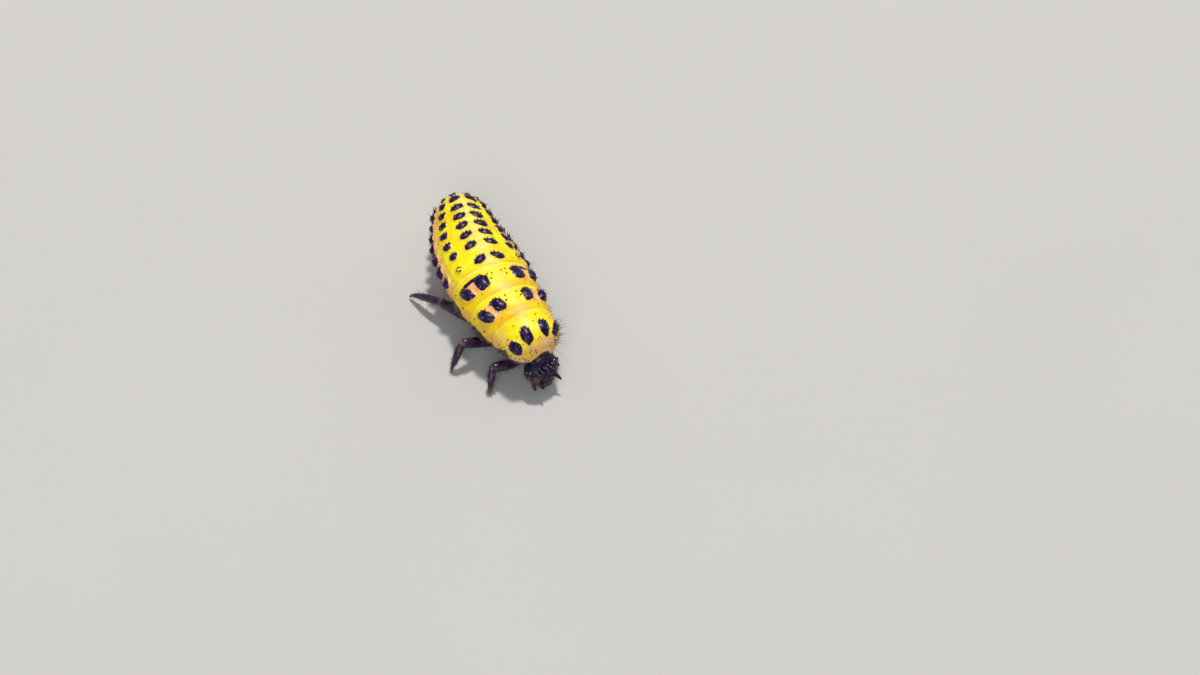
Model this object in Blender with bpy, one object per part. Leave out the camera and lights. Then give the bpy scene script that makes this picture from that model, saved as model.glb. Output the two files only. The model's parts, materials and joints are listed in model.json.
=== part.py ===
"""Larva of the 22-spot ladybird, life size, standing on a floor at z = 0 with its head towards -Y.

The trunk is a row of segments lofted along one curved axis, each with its tubercles joined on.
Thin cuts part the head, the segments and the lengths of each leg from one another.
Sizes named here are in millimetres, and leave this script in metres.
"""
import math

import bmesh
import bpy
from mathutils import Matrix, Vector

MM = 0.001
CUT = 0.024                 # width of the thin cuts between neighbouring pieces
COLLECTION = "ladybird_larva"

# Trunk, from the tail tip forwards: length along the axis, half-width, height of the back above
# the axis, depth of the belly below it, and height of the axis over the floor.
TRUNK = {
    "abdomen_9": (0.300, 0.38, 0.38, 0.33, 0.615),
    "abdomen_8": (0.310, 0.49, 0.50, 0.41, 0.760),
    "abdomen_7": (0.330, 0.595, 0.57, 0.45, 0.850),
    "abdomen_6": (0.335, 0.69, 0.60, 0.47, 0.895),
    "abdomen_5": (0.305, 0.775, 0.62, 0.48, 0.917),
    "abdomen_4": (0.330, 0.845, 0.63, 0.49, 0.927),
    "abdomen_3": (0.345, 0.895, 0.65, 0.50, 0.940),
    "abdomen_2": (0.375, 0.93, 0.675, 0.50, 0.955),
    "abdomen_1": (0.490, 0.96, 0.685, 0.50, 0.970),
    "metathorax": (0.785, 0.965, 0.665, 0.49, 0.972),
    "mesothorax": (0.740, 0.885, 0.63, 0.47, 0.960),
    "pronotum": (0.920, 0.715, 0.545, 0.42, 0.910),
}
TAIL_YAW = -7.0             # heading of the tail, degrees towards the larva's left
BEND = 28.0                 # how far the heading has turned by the end of the bend
BEND_START = 1.0            # distance from the tail tip at which the bend begins
BEND_SPAN = 4.5
BEND_POWER = 0.8
AXIS_STEP = 0.02
NOSE_DROP = 0.09            # how far the pronotum's front edge dips

RING = 22                   # points round one section of the trunk
BELLY_SQUARE = 0.74         # exponent below 1 flattens the belly
SHIELD_SQUARE = 1.15        # the same under the pronotum, which tucks in there
SHIELD_BLEND = 0.30         # share of the pronotum over which the one turns into the other
CREASE = {"abdomen": 0.040, "thorax": 0.075}
CREASE_SHARPNESS = 4.0
ABDOMEN_RINGS = (0.0, 0.14, 0.5, 0.86, 1.0)
THORAX_RINGS = (0.0, 0.07, 0.24, 0.5, 0.76, 0.93, 1.0)
FRONT_RINGS = (0.0, 0.06, 0.22, 0.45, 0.64, 0.78, 0.88, 0.95, 0.985, 1.0)
TAIL_RINGS = (0.0, 0.06, 0.2, 0.45, 0.75, 1.0)
FRONT_FROM, FRONT_CLOSE = 0.37, 0.92    # where the pronotum starts to round off, and how far it closes
FRONT_SQUARE = 2.5          # exponent above 2 makes its front blunt
TAIL_CLOSE = 0.70

# Tubercles: angle from the top of the back, half-width across, half-length along, and height out
# to the tips of the bristles that stand on them.
DORSAL = (15.7, 0.160, 0.110, 0.115)
DORSOLATERAL = (51.5, 0.115, 0.105, 0.125)
LATERAL = (88.0, 0.105, 0.100, 0.160)
FIRST_LATERAL_ANGLE = 81.0              # where that of abdomen_1 lies instead
INNER = {"metathorax": (28.0, 0.24, 0.21, 0.120), "mesothorax": (26.0, 0.22, 0.20, 0.120),
         "pronotum": (21.5, 0.135, 0.26, 0.095)}
OUTER = {"metathorax": (58.0, 0.19, 0.19, 0.150), "mesothorax": (57.0, 0.19, 0.19, 0.150),
         "pronotum": (62.0, 0.15, 0.21, 0.140)}
SPOT_ROW = {"pronotum": 0.658}          # place of the row along its segment, from the rear
MIDWAY = 0.5
SIDE_ANGLE = 70.0                       # tubercles lower than this are drawn with fewer sides
TUBERCLE_SEATING = 0.35                 # share of a tubercle's height sunk below the skin
SMALLER_NEAR_TAIL = 0.72                # size of the tubercles of abdomen_8 against the others
SLOPE_ANGLE, SLOPE_SHARE = 2.0, 0.03    # steps over which the skin's slope is read

# Legs: points from the root inside the thorax to the claw, as forward, sideways and height,
# from the axis at the segment's row; left legs are read with sideways positive.
LEG_POINTS = {
    "hind_right": ("metathorax", -1, ((0.04, 0.34, 0.60), (-0.04, 0.58, 0.36), (-0.70, 1.06, 0.50),
                                      (-1.42, 1.36, 0.20), (-1.49, 1.41, 0.00))),
    "middle_right": ("mesothorax", -1, ((0.00, 0.32, 0.60), (-0.04, 0.54, 0.36), (-0.06, 1.28, 0.64),
                                        (0.06, 1.56, 0.12), (0.10, 1.61, 0.00))),
    "front_right": ("pronotum", -1, ((-0.20, 0.30, 0.70), (-0.22, 0.42, 0.36), (-0.26, 1.00, 0.49),
                                     (-0.04, 1.19, 0.12), (0.00, 1.23, 0.00))),
    "hind_left": ("metathorax", 1, ((0.04, 0.34, 0.60), (-0.04, 0.58, 0.36), (-0.60, 1.02, 0.56),
                                    (-1.12, 1.18, 0.18), (-1.18, 1.21, 0.00))),
    "middle_left": ("mesothorax", 1, ((0.00, 0.32, 0.60), (-0.04, 0.54, 0.36), (-0.16, 0.98, 0.60),
                                      (-0.03, 1.06, 0.12), (-0.01, 1.08, 0.00))),
    "front_left": ("pronotum", 1, ((-0.18, 0.30, 0.70), (-0.22, 0.42, 0.36), (-0.40, 0.70, 0.50),
                                   (-0.28, 0.66, 0.12), (-0.25, 0.66, 0.00))),
}
LEG_RADII = (0.21, 0.215, 0.21, 0.175, 0.14)
LEG_NAMES = ("coxa", "femur", "tibia", "claw")
LEG_BULGE = 0.08            # swelling of a length of leg at its middle
KNEE_ROUND = 0.13           # how far from a joint its corner begins
KNEE_SHARE = 0.35           # the most of a length that one rounded corner takes
CLAW_TAPER = 0.8            # radius of the claw where it is cut, against its radius above
CLAW_OVERRUN = 0.30         # how far the claw is drawn below the floor before it is cut level

# Head: where its middle lies from the pronotum's spot row, its half-sizes and its tilt.
HEAD_FORWARD, HEAD_ASIDE, HEAD_HEIGHT = 0.37, -0.12, 0.55
HEAD_WIDE, HEAD_LONG, HEAD_DEEP = 0.43, 0.38, 0.32
FACE_TILT = 62.0            # degrees that the mouth points below the level
HEAD_YAW = 25.0
FACE_FLATNESS = 0.86        # depth of the face's side of the head against the back of it
CHEEK_TAPER = 0.12          # how much narrower the head is at the mouth

# On the head, in its own axes: sideways, towards the mouth, and out of the face.
EYE_RADIUS = 0.048
EYES = {"front": (0.340, 0.03, 0.170), "top": (0.39, -0.09, 0.11), "rear": (0.41, 0.02, 0.045)}
LABRUM = (0.17, 0.06, 0.055)
LABRUM_AT = (0.0, 0.36, 0.085)
LABRUM_EDGE = 0.03
FEELERS = {
    "antenna": ((0.20, 0.17, 0.12), (0.24, 0.27, 0.21), (0.25, 0.34, 0.25)),
    "mandible": ((0.13, 0.26, -0.01), (0.14, 0.39, -0.02), (0.075, 0.455, -0.02)),
    "palp": ((0.24, 0.20, -0.09), (0.27, 0.36, -0.10), (0.25, 0.44, -0.09)),
}
FEELER_RADII = {"antenna": (0.085, 0.075, 0.055), "mandible": (0.075, 0.065, 0.035),
                "palp": (0.085, 0.07, 0.05)}

# Anal pad: distance from the tail tip, height before it is cut to the tail, radii and foot edge.
PAD_AT, PAD_TOP, PAD_RADIUS, PAD_FOOT, PAD_EDGE = 0.20, 0.60, 0.25, 0.21, 0.04
NEIGHBOURED = ("metathorax", "mesothorax", "pronotum", "abdomen_8", "abdomen_9")
SHARP_ANGLE = 50.0          # edges that turn more than this are shaded sharp

SKIN_YELLOW = (0.95, 0.62, 0.03, 1.0)
SHELL_BLACK = (0.025, 0.015, 0.035, 1.0)
LEG_BLACK = (0.045, 0.028, 0.055, 1.0)
MOUTH_BROWN = (0.16, 0.05, 0.025, 1.0)
EYE_BLACK = (0.01, 0.01, 0.012, 1.0)


# ---------------------------------------------------------------- the trunk's axis and sections

def starts():
    """Distance of each segment's rear end from the tail tip."""
    place, found = 0.0, {}
    for name, row in TRUNK.items():
        found[name] = place
        place += row[0]
    return found


START = starts()


def heading(along):
    """Yaw of the axis in radians, from -Y towards +X, at a distance from the tail tip."""
    share = max(0.0, (along - BEND_START) / BEND_SPAN)
    return math.radians(TAIL_YAW + BEND * share ** BEND_POWER)


def forward(yaw):
    return Vector((math.sin(yaw), -math.cos(yaw), 0.0))


def leftward(yaw):
    return Vector((math.cos(yaw), math.sin(yaw), 0.0))


def axis_point(along):
    """Point of the axis on the floor plan, by adding short straight steps."""
    steps = max(1, round(abs(along) / AXIS_STEP))
    length = along / steps
    return sum((forward(heading((i + 0.5) * length)) * length for i in range(steps)), Vector())


def smooth_value(along, column):
    """A trunk size at a distance from the tail, drawn smoothly through the segments' middles."""
    knots = [(START[name] + row[0] / 2, row[column]) for name, row in TRUNK.items()]
    along = min(max(along, knots[0][0]), knots[-1][0])
    last = len(knots) - 1
    i = max(k for k in range(last) if knots[k][0] <= along)

    def slope(k):
        a, b = knots[max(0, k - 1)], knots[min(last, k + 1)]
        return (b[1] - a[1]) / (b[0] - a[0])

    (x0, y0), (x1, y1) = knots[i], knots[i + 1]
    span = x1 - x0
    u = (along - x0) / span
    return (y0 * (1 + 2 * u) * (1 - u) ** 2 + span * slope(i) * u * (1 - u) ** 2
            + y1 * (3 - 2 * u) * u ** 2 + span * slope(i + 1) * u ** 2 * (u - 1))


def closing(share, begins, depth, square=2.0):
    """Factor that rounds an end off, from 1 where it begins to 1 - depth at the end."""
    if share <= begins:
        return 1.0
    reach = (share - begins) / (1 - begins)
    return 1 - depth * (1 - max(0.0, 1 - reach ** square) ** (1 / square))


def section(name, share, grow=0.0):
    """Half-width, back, belly and axis height of a segment at a share of its length."""
    along = START[name] + share * TRUNK[name][0]
    wide, back, belly, height = (smooth_value(along, column) for column in (1, 2, 3, 4))
    dip = CREASE["abdomen" if name.startswith("abdomen") else "thorax"]
    pinch = dip * abs(2 * share - 1) ** CREASE_SHARPNESS
    factor = 1.0
    if name == "pronotum":
        pinch *= 1.0 if share < MIDWAY else 0.0
        factor = closing(share, FRONT_FROM, FRONT_CLOSE, FRONT_SQUARE)
        height -= NOSE_DROP * max(0.0, share - FRONT_FROM) ** 2 / (1 - FRONT_FROM) ** 2
    if name == "abdomen_9":
        factor = closing(1 - share, 0.0, TAIL_CLOSE)
    return (wide * factor - pinch + grow, back * factor - pinch + grow,
            belly * factor - pinch / 2 + grow, height)


def belly_square(name, share):
    """Exponent that flattens a section's lower half, or draws it in under the pronotum."""
    if name != "pronotum":
        return BELLY_SQUARE
    return BELLY_SQUARE + (SHIELD_SQUARE - BELLY_SQUARE) * min(1.0, share / SHIELD_BLEND)


def rim_point(name, share, angle, grow=0.0):
    """Point on a segment's skin at an angle from the top of the back, towards the left."""
    wide, back, belly, height = section(name, share, grow)
    along = START[name] + share * TRUNK[name][0]
    side, lift = math.sin(angle), math.cos(angle)
    square = belly_square(name, share) if lift < 0 else 1.0
    out = math.copysign(wide * abs(side) ** square, side)
    up = math.copysign((belly if lift < 0 else back) * abs(lift) ** square, lift)
    point = axis_point(along) + leftward(heading(along)) * out
    point.z = height + up
    return point


# ---------------------------------------------------------------- small mesh helpers

def new_object(name, mesh, collection):
    piece = bpy.data.objects.new(name, mesh)
    collection.objects.link(piece)
    return piece


def finished(bm, name):
    """Writes a bmesh drawn in millimetres as a mesh in metres, its faces pointing out."""
    bmesh.ops.recalc_face_normals(bm, faces=bm.faces)
    bmesh.ops.scale(bm, vec=(MM, MM, MM), verts=bm.verts)
    mesh = bpy.data.meshes.new(name)
    bm.to_mesh(mesh)
    bm.free()
    mesh.shade_smooth()
    mesh.set_sharp_from_angle(angle=math.radians(SHARP_ANGLE))
    return mesh


def loft(rings, name):
    """A closed skin through rings of equal length, with a flat face on each end."""
    bm = bmesh.new()
    rows = [[bm.verts.new(point) for point in ring] for ring in rings]
    count = len(rows[0])
    for lower, upper in zip(rows[:-1], rows[1:]):
        for i in range(count):
            j = (i + 1) % count
            bm.faces.new((lower[i], lower[j], upper[j], upper[i]))
    bm.faces.new(rows[0])
    bm.faces.new(rows[-1])
    return finished(bm, name)


def cut_by(piece, cutter, operation="DIFFERENCE"):
    step = piece.modifiers.new(f"{operation.lower()}_{cutter.name}", "BOOLEAN")
    step.operation = operation
    step.solver = "EXACT"
    step.object = cutter


def hide_cutter(piece):
    piece.hide_render = True
    piece.display_type = "WIRE"


def material(name, colour, roughness, metallic=0.0):
    made = bpy.data.materials.new(name)
    made.use_nodes = True
    shader = made.node_tree.nodes["Principled BSDF"]
    shader.inputs["Base Color"].default_value = colour
    shader.inputs["Roughness"].default_value = roughness
    shader.inputs["Metallic"].default_value = metallic
    return made


def dress(piece, name, colour, roughness):
    piece.data.materials.append(material(name, colour, roughness))


def half_cut(bm, point, normal):
    """Keeps what lies behind a plane, and closes the cut with a flat face."""
    cut = bmesh.ops.bisect_plane(bm, geom=bm.verts[:] + bm.edges[:] + bm.faces[:],
                                 plane_co=point, plane_no=normal, clear_outer=True)
    edges = [item for item in cut["geom_cut"] if isinstance(item, bmesh.types.BMEdge)]
    bmesh.ops.contextual_create(bm, geom=edges)


# ---------------------------------------------------------------- trunk

def segment_mesh(name, grow=0.0, label=None):
    length = TRUNK[name][0]
    shares = THORAX_RINGS
    if name.startswith("abdomen"):
        shares = ABDOMEN_RINGS
    if name == "pronotum":
        shares = FRONT_RINGS
    if name == "abdomen_9":
        shares = TAIL_RINGS
    inset = (CUT / 2 - grow) / length
    rings = []
    for share in shares:
        place = inset + share * (1 - 2 * inset)
        angles = [2 * math.pi * i / RING for i in range(RING)]
        rings.append([rim_point(name, place, angle, grow) for angle in angles])
    return loft(rings, label or name)


def tubercle_rows(name):
    """Angle, half-width, half-length and height of each tubercle on one side of a segment."""
    if name in INNER:
        return [INNER[name], OUTER[name]]
    if name == "abdomen_9":
        return []
    size = SMALLER_NEAR_TAIL if name == "abdomen_8" else 1.0
    lateral = (FIRST_LATERAL_ANGLE, *LATERAL[1:]) if name == "abdomen_1" else LATERAL
    return [(row[0], row[1] * size, row[2] * size, row[3] * size)
            for row in (DORSAL, DORSOLATERAL, lateral)]


def add_dome(bm, name, share, angle, half, sides):
    """A low dome on the skin, square to it and in line with the trunk."""
    seat = rim_point(name, share, angle)
    nudge = math.radians(SLOPE_ANGLE)
    across = (rim_point(name, share, angle + nudge) - rim_point(name, share, angle - nudge)).normalized()
    fore = (rim_point(name, share + SLOPE_SHARE, angle)
            - rim_point(name, share - SLOPE_SHARE, angle)).normalized()
    out = across.cross(fore).normalized()
    if out.dot(seat - axis_point(START[name] + share * TRUNK[name][0])
               - Vector((0, 0, TRUNK[name][4]))) < 0:
        out = -out
    fore = out.cross(across)
    turn = Matrix((across, fore, out)).transposed().to_4x4()
    place = Matrix.Translation(seat - out * half[2] * TUBERCLE_SEATING)
    bmesh.ops.create_uvsphere(bm, u_segments=sides, v_segments=6, radius=1.0,
                              matrix=place @ turn @ Matrix.Diagonal((*half, 1.0)))


def build_trunk(parts, cutters):
    """All segments, and a slightly larger copy of each that a leg, the head or the pad meets."""
    larger = {}
    for name in TRUNK:
        piece = new_object(name, segment_mesh(name), parts)
        dress(piece, f"skin_{name}", SKIN_YELLOW, 0.42)
        rows = tubercle_rows(name)
        if rows:
            bm = bmesh.new()
            share = SPOT_ROW.get(name, MIDWAY)
            for angle, wide, long, high in rows:
                for side in (-1, 1):
                    half = (wide, long, high * (1 + TUBERCLE_SEATING))
                    sides = 6 if angle > SIDE_ANGLE else 8
                    add_dome(bm, name, share, side * math.radians(angle), half, sides)
            domes = new_object(f"tubercles_{name}", finished(bm, f"tubercles_{name}"), cutters)
            hide_cutter(domes)
            cut_by(piece, domes, "UNION")
        if name in NEIGHBOURED:
            label = f"larger_{name}"
            larger[name] = new_object(label, segment_mesh(name, CUT, label), cutters)
            hide_cutter(larger[name])
    return larger


def build_anal_pad(parts, larger):
    """The fleshy pad under the tail that grips the floor, turned about an upright axis."""
    bm = bmesh.new()
    bmesh.ops.create_cone(bm, cap_ends=True, segments=12, radius1=PAD_FOOT, radius2=PAD_RADIUS,
                          depth=PAD_TOP, matrix=Matrix.Translation((0, 0, PAD_TOP / 2)))
    rim = [edge for edge in bm.edges if all(vert.co.z < PAD_EDGE for vert in edge.verts)]
    bmesh.ops.bevel(bm, geom=rim, offset=PAD_EDGE, segments=1, affect="EDGES", profile=0.5)
    bmesh.ops.translate(bm, verts=bm.verts, vec=axis_point(PAD_AT))
    piece = new_object("anal_pad", finished(bm, "anal_pad"), parts)
    dress(piece, "skin_anal_pad", SKIN_YELLOW, 0.45)
    for name in ("abdomen_9", "abdomen_8"):
        cut_by(piece, larger[name])


# ---------------------------------------------------------------- legs

def leg_stations(points, radii):
    """Places and radii along each length of a leg, its corners rounded off at the joints."""
    lengths = []
    for i, (root, tip) in enumerate(zip(points, points[1:])):
        run = tip - root
        round_off = min(KNEE_ROUND, KNEE_SHARE * run.length) / run.length
        shares = [round_off if i > 0 else 0.0, 0.5, 1 - round_off if i < len(points) - 2 else 1.0]
        lengths.append([(root + run * share, (radii[i] + (radii[i + 1] - radii[i]) * share)
                         * (1 + LEG_BULGE * math.sin(math.pi * share))) for share in shares])
    fall = (points[-1] - points[-2]).normalized()
    lengths[-1].append((points[-1] + fall * CLAW_OVERRUN, radii[-1] * CLAW_TAPER))
    return lengths


def tube_mesh(stations, name):
    """A round tube through the stations, as a mesh with its caps welded on."""
    curve = bpy.data.curves.new(name, "CURVE")
    curve.dimensions = "3D"
    curve.bevel_depth = MM
    curve.bevel_resolution = 2
    curve.use_fill_caps = True
    spline = curve.splines.new("POLY")
    spline.points.add(len(stations) - 1)
    for point, (place, radius) in zip(spline.points, stations):
        point.co = (*(place * MM), 1.0)
        point.radius = radius
    holder = bpy.data.objects.new(name, curve)
    bpy.context.scene.collection.objects.link(holder)
    bpy.context.view_layer.update()
    mesh = bpy.data.meshes.new_from_object(holder.evaluated_get(bpy.context.evaluated_depsgraph_get()))
    bpy.data.objects.remove(holder)
    bm = bmesh.new()
    bm.from_mesh(mesh)
    bpy.data.meshes.remove(mesh)
    bmesh.ops.remove_doubles(bm, verts=bm.verts, dist=1e-7)
    bmesh.ops.scale(bm, vec=(1 / MM,) * 3, verts=bm.verts)
    return bm


def leg_planes(lengths):
    """The plane across the leg at each joint: a point on it and the way towards the foot."""
    planes = []
    for upper, lower in zip(lengths, lengths[1:]):
        before, after = upper[-1][0], lower[0][0]
        planes.append(((before + after) / 2, (after - before).normalized()))
    return planes


def build_leg(leg, parts, larger):
    """One leg, modelled whole and parted at its joints; its foot is cut level with the floor."""
    segment, side, shape = LEG_POINTS[leg]
    along = START[segment] + TRUNK[segment][0] * SPOT_ROW.get(segment, MIDWAY)
    yaw = heading(along)
    points = []
    for ahead, aside, height in shape:
        place = axis_point(along) + forward(yaw) * ahead + leftward(yaw) * aside * side
        points.append(Vector((place.x, place.y, height)))
    lengths = leg_stations(points, LEG_RADII)
    planes = leg_planes(lengths)
    for i, length in enumerate(LEG_NAMES):
        name = f"{length}_{leg}"
        before = lengths[i - 1][-1:] if i > 0 else []
        after = lengths[i + 1][:1] if i < len(planes) else []
        bm = tube_mesh(before + lengths[i] + after, name)
        if i > 0:
            joint, normal = planes[i - 1]
            half_cut(bm, joint + normal * CUT / 2, -normal)
        if i < len(planes):
            joint, normal = planes[i]
            half_cut(bm, joint - normal * CUT / 2, normal)
        else:
            half_cut(bm, Vector(), Vector((0, 0, -1)))
        piece = new_object(name, finished(bm, name), parts)
        dress(piece, f"shell_{name}", LEG_BLACK, 0.35)
        if i < 2:
            cut_by(piece, larger[segment])


# ---------------------------------------------------------------- head

def head_frame():
    """Matrix from the head's own axes to the larva's: X left, Y towards the mouth, Z out of the face."""
    along = START["pronotum"] + TRUNK["pronotum"][0] * SPOT_ROW["pronotum"]
    yaw, tilt = math.radians(HEAD_YAW), math.radians(FACE_TILT)
    ahead, left, up = forward(yaw), leftward(yaw), Vector((0, 0, 1))
    mouth = ahead * math.cos(tilt) - up * math.sin(tilt)
    face = ahead * math.sin(tilt) + up * math.cos(tilt)
    place = axis_point(along) + ahead * HEAD_FORWARD + left * HEAD_ASIDE + up * HEAD_HEIGHT
    return Matrix.Translation(place) @ Matrix((left, mouth, face)).transposed().to_4x4()


def capsule_mesh(name, grow=0.0):
    """The head capsule: a ball drawn wide, flattened at the face."""
    bm = bmesh.new()
    bmesh.ops.create_uvsphere(bm, u_segments=20, v_segments=12, radius=1.0)
    for vert in bm.verts:
        x, y, z = vert.co
        face = HEAD_DEEP * (FACE_FLATNESS if z > 0 else 1.0)
        vert.co = (x * (HEAD_WIDE + grow) * (1 - CHEEK_TAPER * max(0.0, y)), y * (HEAD_LONG + grow),
                   z * (face + grow))
    bmesh.ops.transform(bm, matrix=head_frame(), verts=bm.verts)
    return finished(bm, name)


def mirrored(point, side):
    """A point of the larva's left side, or its twin on the right."""
    return Vector((point[0] * side, point[1], point[2]))


def build_feeler(kind, side, name, parts, cutter):
    """A short tapering limb of the head, from inside the capsule out to its tip."""
    frame = head_frame()
    stations = [(frame @ mirrored(point, side), radius)
                for point, radius in zip(FEELERS[kind], FEELER_RADII[kind])]
    piece = new_object(name, finished(tube_mesh(stations, name), name), parts)
    dress(piece, f"shell_{name}", SHELL_BLACK if kind == "antenna" else MOUTH_BROWN, 0.35)
    cut_by(piece, cutter)


def build_eye(place, side, name, parts, cutter):
    bm = bmesh.new()
    bmesh.ops.create_uvsphere(bm, u_segments=8, v_segments=6, radius=EYE_RADIUS)
    bmesh.ops.transform(bm, matrix=head_frame() @ Matrix.Translation(mirrored(EYES[place], side)),
                        verts=bm.verts)
    eye = new_object(name, finished(bm, name), parts)
    dress(eye, f"lens_{name}", EYE_BLACK, 0.08)
    cut_by(eye, cutter)


def build_labrum(parts, cutter):
    bm = bmesh.new()
    bmesh.ops.create_cube(bm, size=2.0, matrix=Matrix.Diagonal((*LABRUM, 1.0)))
    bmesh.ops.bevel(bm, geom=bm.edges[:], offset=LABRUM_EDGE, segments=1, affect="EDGES", profile=0.5)
    bmesh.ops.transform(bm, matrix=head_frame() @ Matrix.Translation(LABRUM_AT), verts=bm.verts)
    labrum = new_object("labrum", finished(bm, "labrum"), parts)
    dress(labrum, "shell_labrum", MOUTH_BROWN, 0.35)
    cut_by(labrum, cutter)


def build_head(parts, cutters, larger):
    """The capsule, the upper lip, and the limbs and eyes of both sides."""
    head = new_object("head", capsule_mesh("head"), parts)
    dress(head, "shell_head", SHELL_BLACK, 0.3)
    cut_by(head, larger["pronotum"])
    cutter = new_object("larger_head", capsule_mesh("larger_head", CUT), cutters)
    hide_cutter(cutter)
    build_labrum(parts, cutter)
    for side, word in ((-1, "right"), (1, "left")):
        for kind in FEELERS:
            build_feeler(kind, side, f"{kind}_{word}", parts, cutter)
        for place in EYES:
            build_eye(place, side, f"eye_{place}_{word}", parts, cutter)


# ---------------------------------------------------------------- whole larva

def set_down(parts, cutters):
    """Moves all pieces so that the origin is under the middle of the whole larva's box."""
    bpy.context.view_layer.update()
    depsgraph = bpy.context.evaluated_depsgraph_get()
    low, high = Vector((1e9,) * 3), Vector((-1e9,) * 3)
    for piece in parts.objects:
        if piece.type != "MESH":
            continue
        mesh = piece.evaluated_get(depsgraph).to_mesh()
        for vert in mesh.vertices:
            for k in range(3):
                low[k] = min(low[k], vert.co[k])
                high[k] = max(high[k], vert.co[k])
    middle = Vector(((low.x + high.x) / 2, (low.y + high.y) / 2, low.z))
    for piece in list(parts.objects) + list(cutters.objects):
        piece.data.transform(Matrix.Translation(-middle))


def main():
    for old in list(bpy.data.objects):
        bpy.data.objects.remove(old, do_unlink=True)
    parts = bpy.data.collections.new(COLLECTION)
    cutters = bpy.data.collections.new("cutters")
    for collection in (parts, cutters):
        bpy.context.scene.collection.children.link(collection)
    larger = build_trunk(parts, cutters)
    build_anal_pad(parts, larger)
    for leg in LEG_POINTS:
        build_leg(leg, parts, larger)
    build_head(parts, cutters, larger)
    set_down(parts, cutters)


main()
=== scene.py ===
"""Looks of the ladybird larva: one soft skin over its trunk, shell legs and head, and their bristles.

Lengths are in millimetres until a mesh is written, and are written in metres.
"""

import json
import logging
import math
from dataclasses import dataclass, field
from enum import Enum
from typing import Any, Sequence

import bpy
import numpy as np
from mathutils import Matrix, Vector


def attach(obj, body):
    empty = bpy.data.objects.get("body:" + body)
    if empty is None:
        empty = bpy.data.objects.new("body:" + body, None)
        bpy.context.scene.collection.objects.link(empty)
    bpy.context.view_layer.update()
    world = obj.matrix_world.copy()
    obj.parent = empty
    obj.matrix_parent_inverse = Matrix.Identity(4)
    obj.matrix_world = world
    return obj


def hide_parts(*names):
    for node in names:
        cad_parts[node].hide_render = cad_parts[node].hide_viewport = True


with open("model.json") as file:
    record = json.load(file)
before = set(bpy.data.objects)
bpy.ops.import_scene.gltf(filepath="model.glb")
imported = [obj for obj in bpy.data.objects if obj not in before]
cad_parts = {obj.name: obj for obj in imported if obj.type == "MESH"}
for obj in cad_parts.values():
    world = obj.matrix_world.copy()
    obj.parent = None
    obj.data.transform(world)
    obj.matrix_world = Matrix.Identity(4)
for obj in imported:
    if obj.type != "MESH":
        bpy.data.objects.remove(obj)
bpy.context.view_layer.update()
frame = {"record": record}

MM = 0.001
SEED = 22
BODY = "root"
BAKE_MAP = "OFBake"
PATCH = 0.003               # width of one bristle's patch on the bake map
UP = np.array([0.0, 0.0, 1.0])
ACROSS = np.array([1.0, 0.0, 0.0])
STEEP = 0.8                 # from this lift on, a direction is too upright to be crossed with UP
NEVER_SHUT = 1e-4           # least squared share of a radius, so that no ring of points shuts
Array = np.ndarray
Material = bpy.types.Material
Piece = bpy.types.Object
Colour = tuple[float, float, float]
Points = tuple[tuple[float, float, float], ...]
log = logging.getLogger("larva")


class Side(Enum):
    """The two sides of the larva, as the sign of the way they lie along +X."""

    RIGHT = -1
    LEFT = 1

    @property
    def word(self) -> str:
        """The side's name as it stands in the names of nodes."""
        return self.name.lower()


class Marking(Enum):
    """How a tubercle is marked."""

    ABDOMEN = "abdomen"
    FLANK = "flank"
    INNER = "inner"
    OUTER = "outer"
    SHIELD = "shield"
    PLEURA = "pleura"
    RINGED = "ringed"


class SkinTone(Enum):
    """Weights stored on the trunk's skin, one attribute each."""

    SPOT = "spot"
    CREAM = "cream"
    PEACH = "peach"
    # painted shade in creases and grooves
    FOLD = "fold"
    # painted highlight on the ridges in front of the thorax's seams
    PALE = "pale"
    # painted shade under the belly
    BELLY = "belly"
    # painted highlight on the pronotum's rim and lip and on the thorax's wrinkles
    RIM = "rim"
    # golden tone of the thorax, partly painted shade on its flanks and segment fronts
    AMBER = "amber"
    # dark pleural tubercles, painted shade under the thorax and a painted shadow on the neck
    DUSK = "dusk"


def hand_over(made: Piece, slot: str, *nodes: str) -> None:
    """Attaches a piece to the body, and hides the solids that it stands for.

    Args:
        made: The piece.
        slot: Its material slot; not used.
        *nodes: The solids that it stands for.
    """
    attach(made, BODY)
    if nodes:
        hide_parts(*nodes)


# ---- numbers

def smooth(low: float, high: float, value: Array) -> Array:
    """A soft step of a value: 0 below low, 1 above high, and an even rise between them."""
    share = np.clip((value - low) / (high - low), 0.0, 1.0)
    return share * share * (3 - 2 * share)


def hump(value: Array, width: float) -> Array:
    """A soft bump that is 1 where the value is 0 and fades over the width."""
    return np.exp(-(value / width) ** 2)


def unit(vectors: Array) -> Array:
    """The same directions with a length of 1."""
    return vectors / np.maximum(np.linalg.norm(vectors, axis=-1, keepdims=True), 1e-12)


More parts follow.
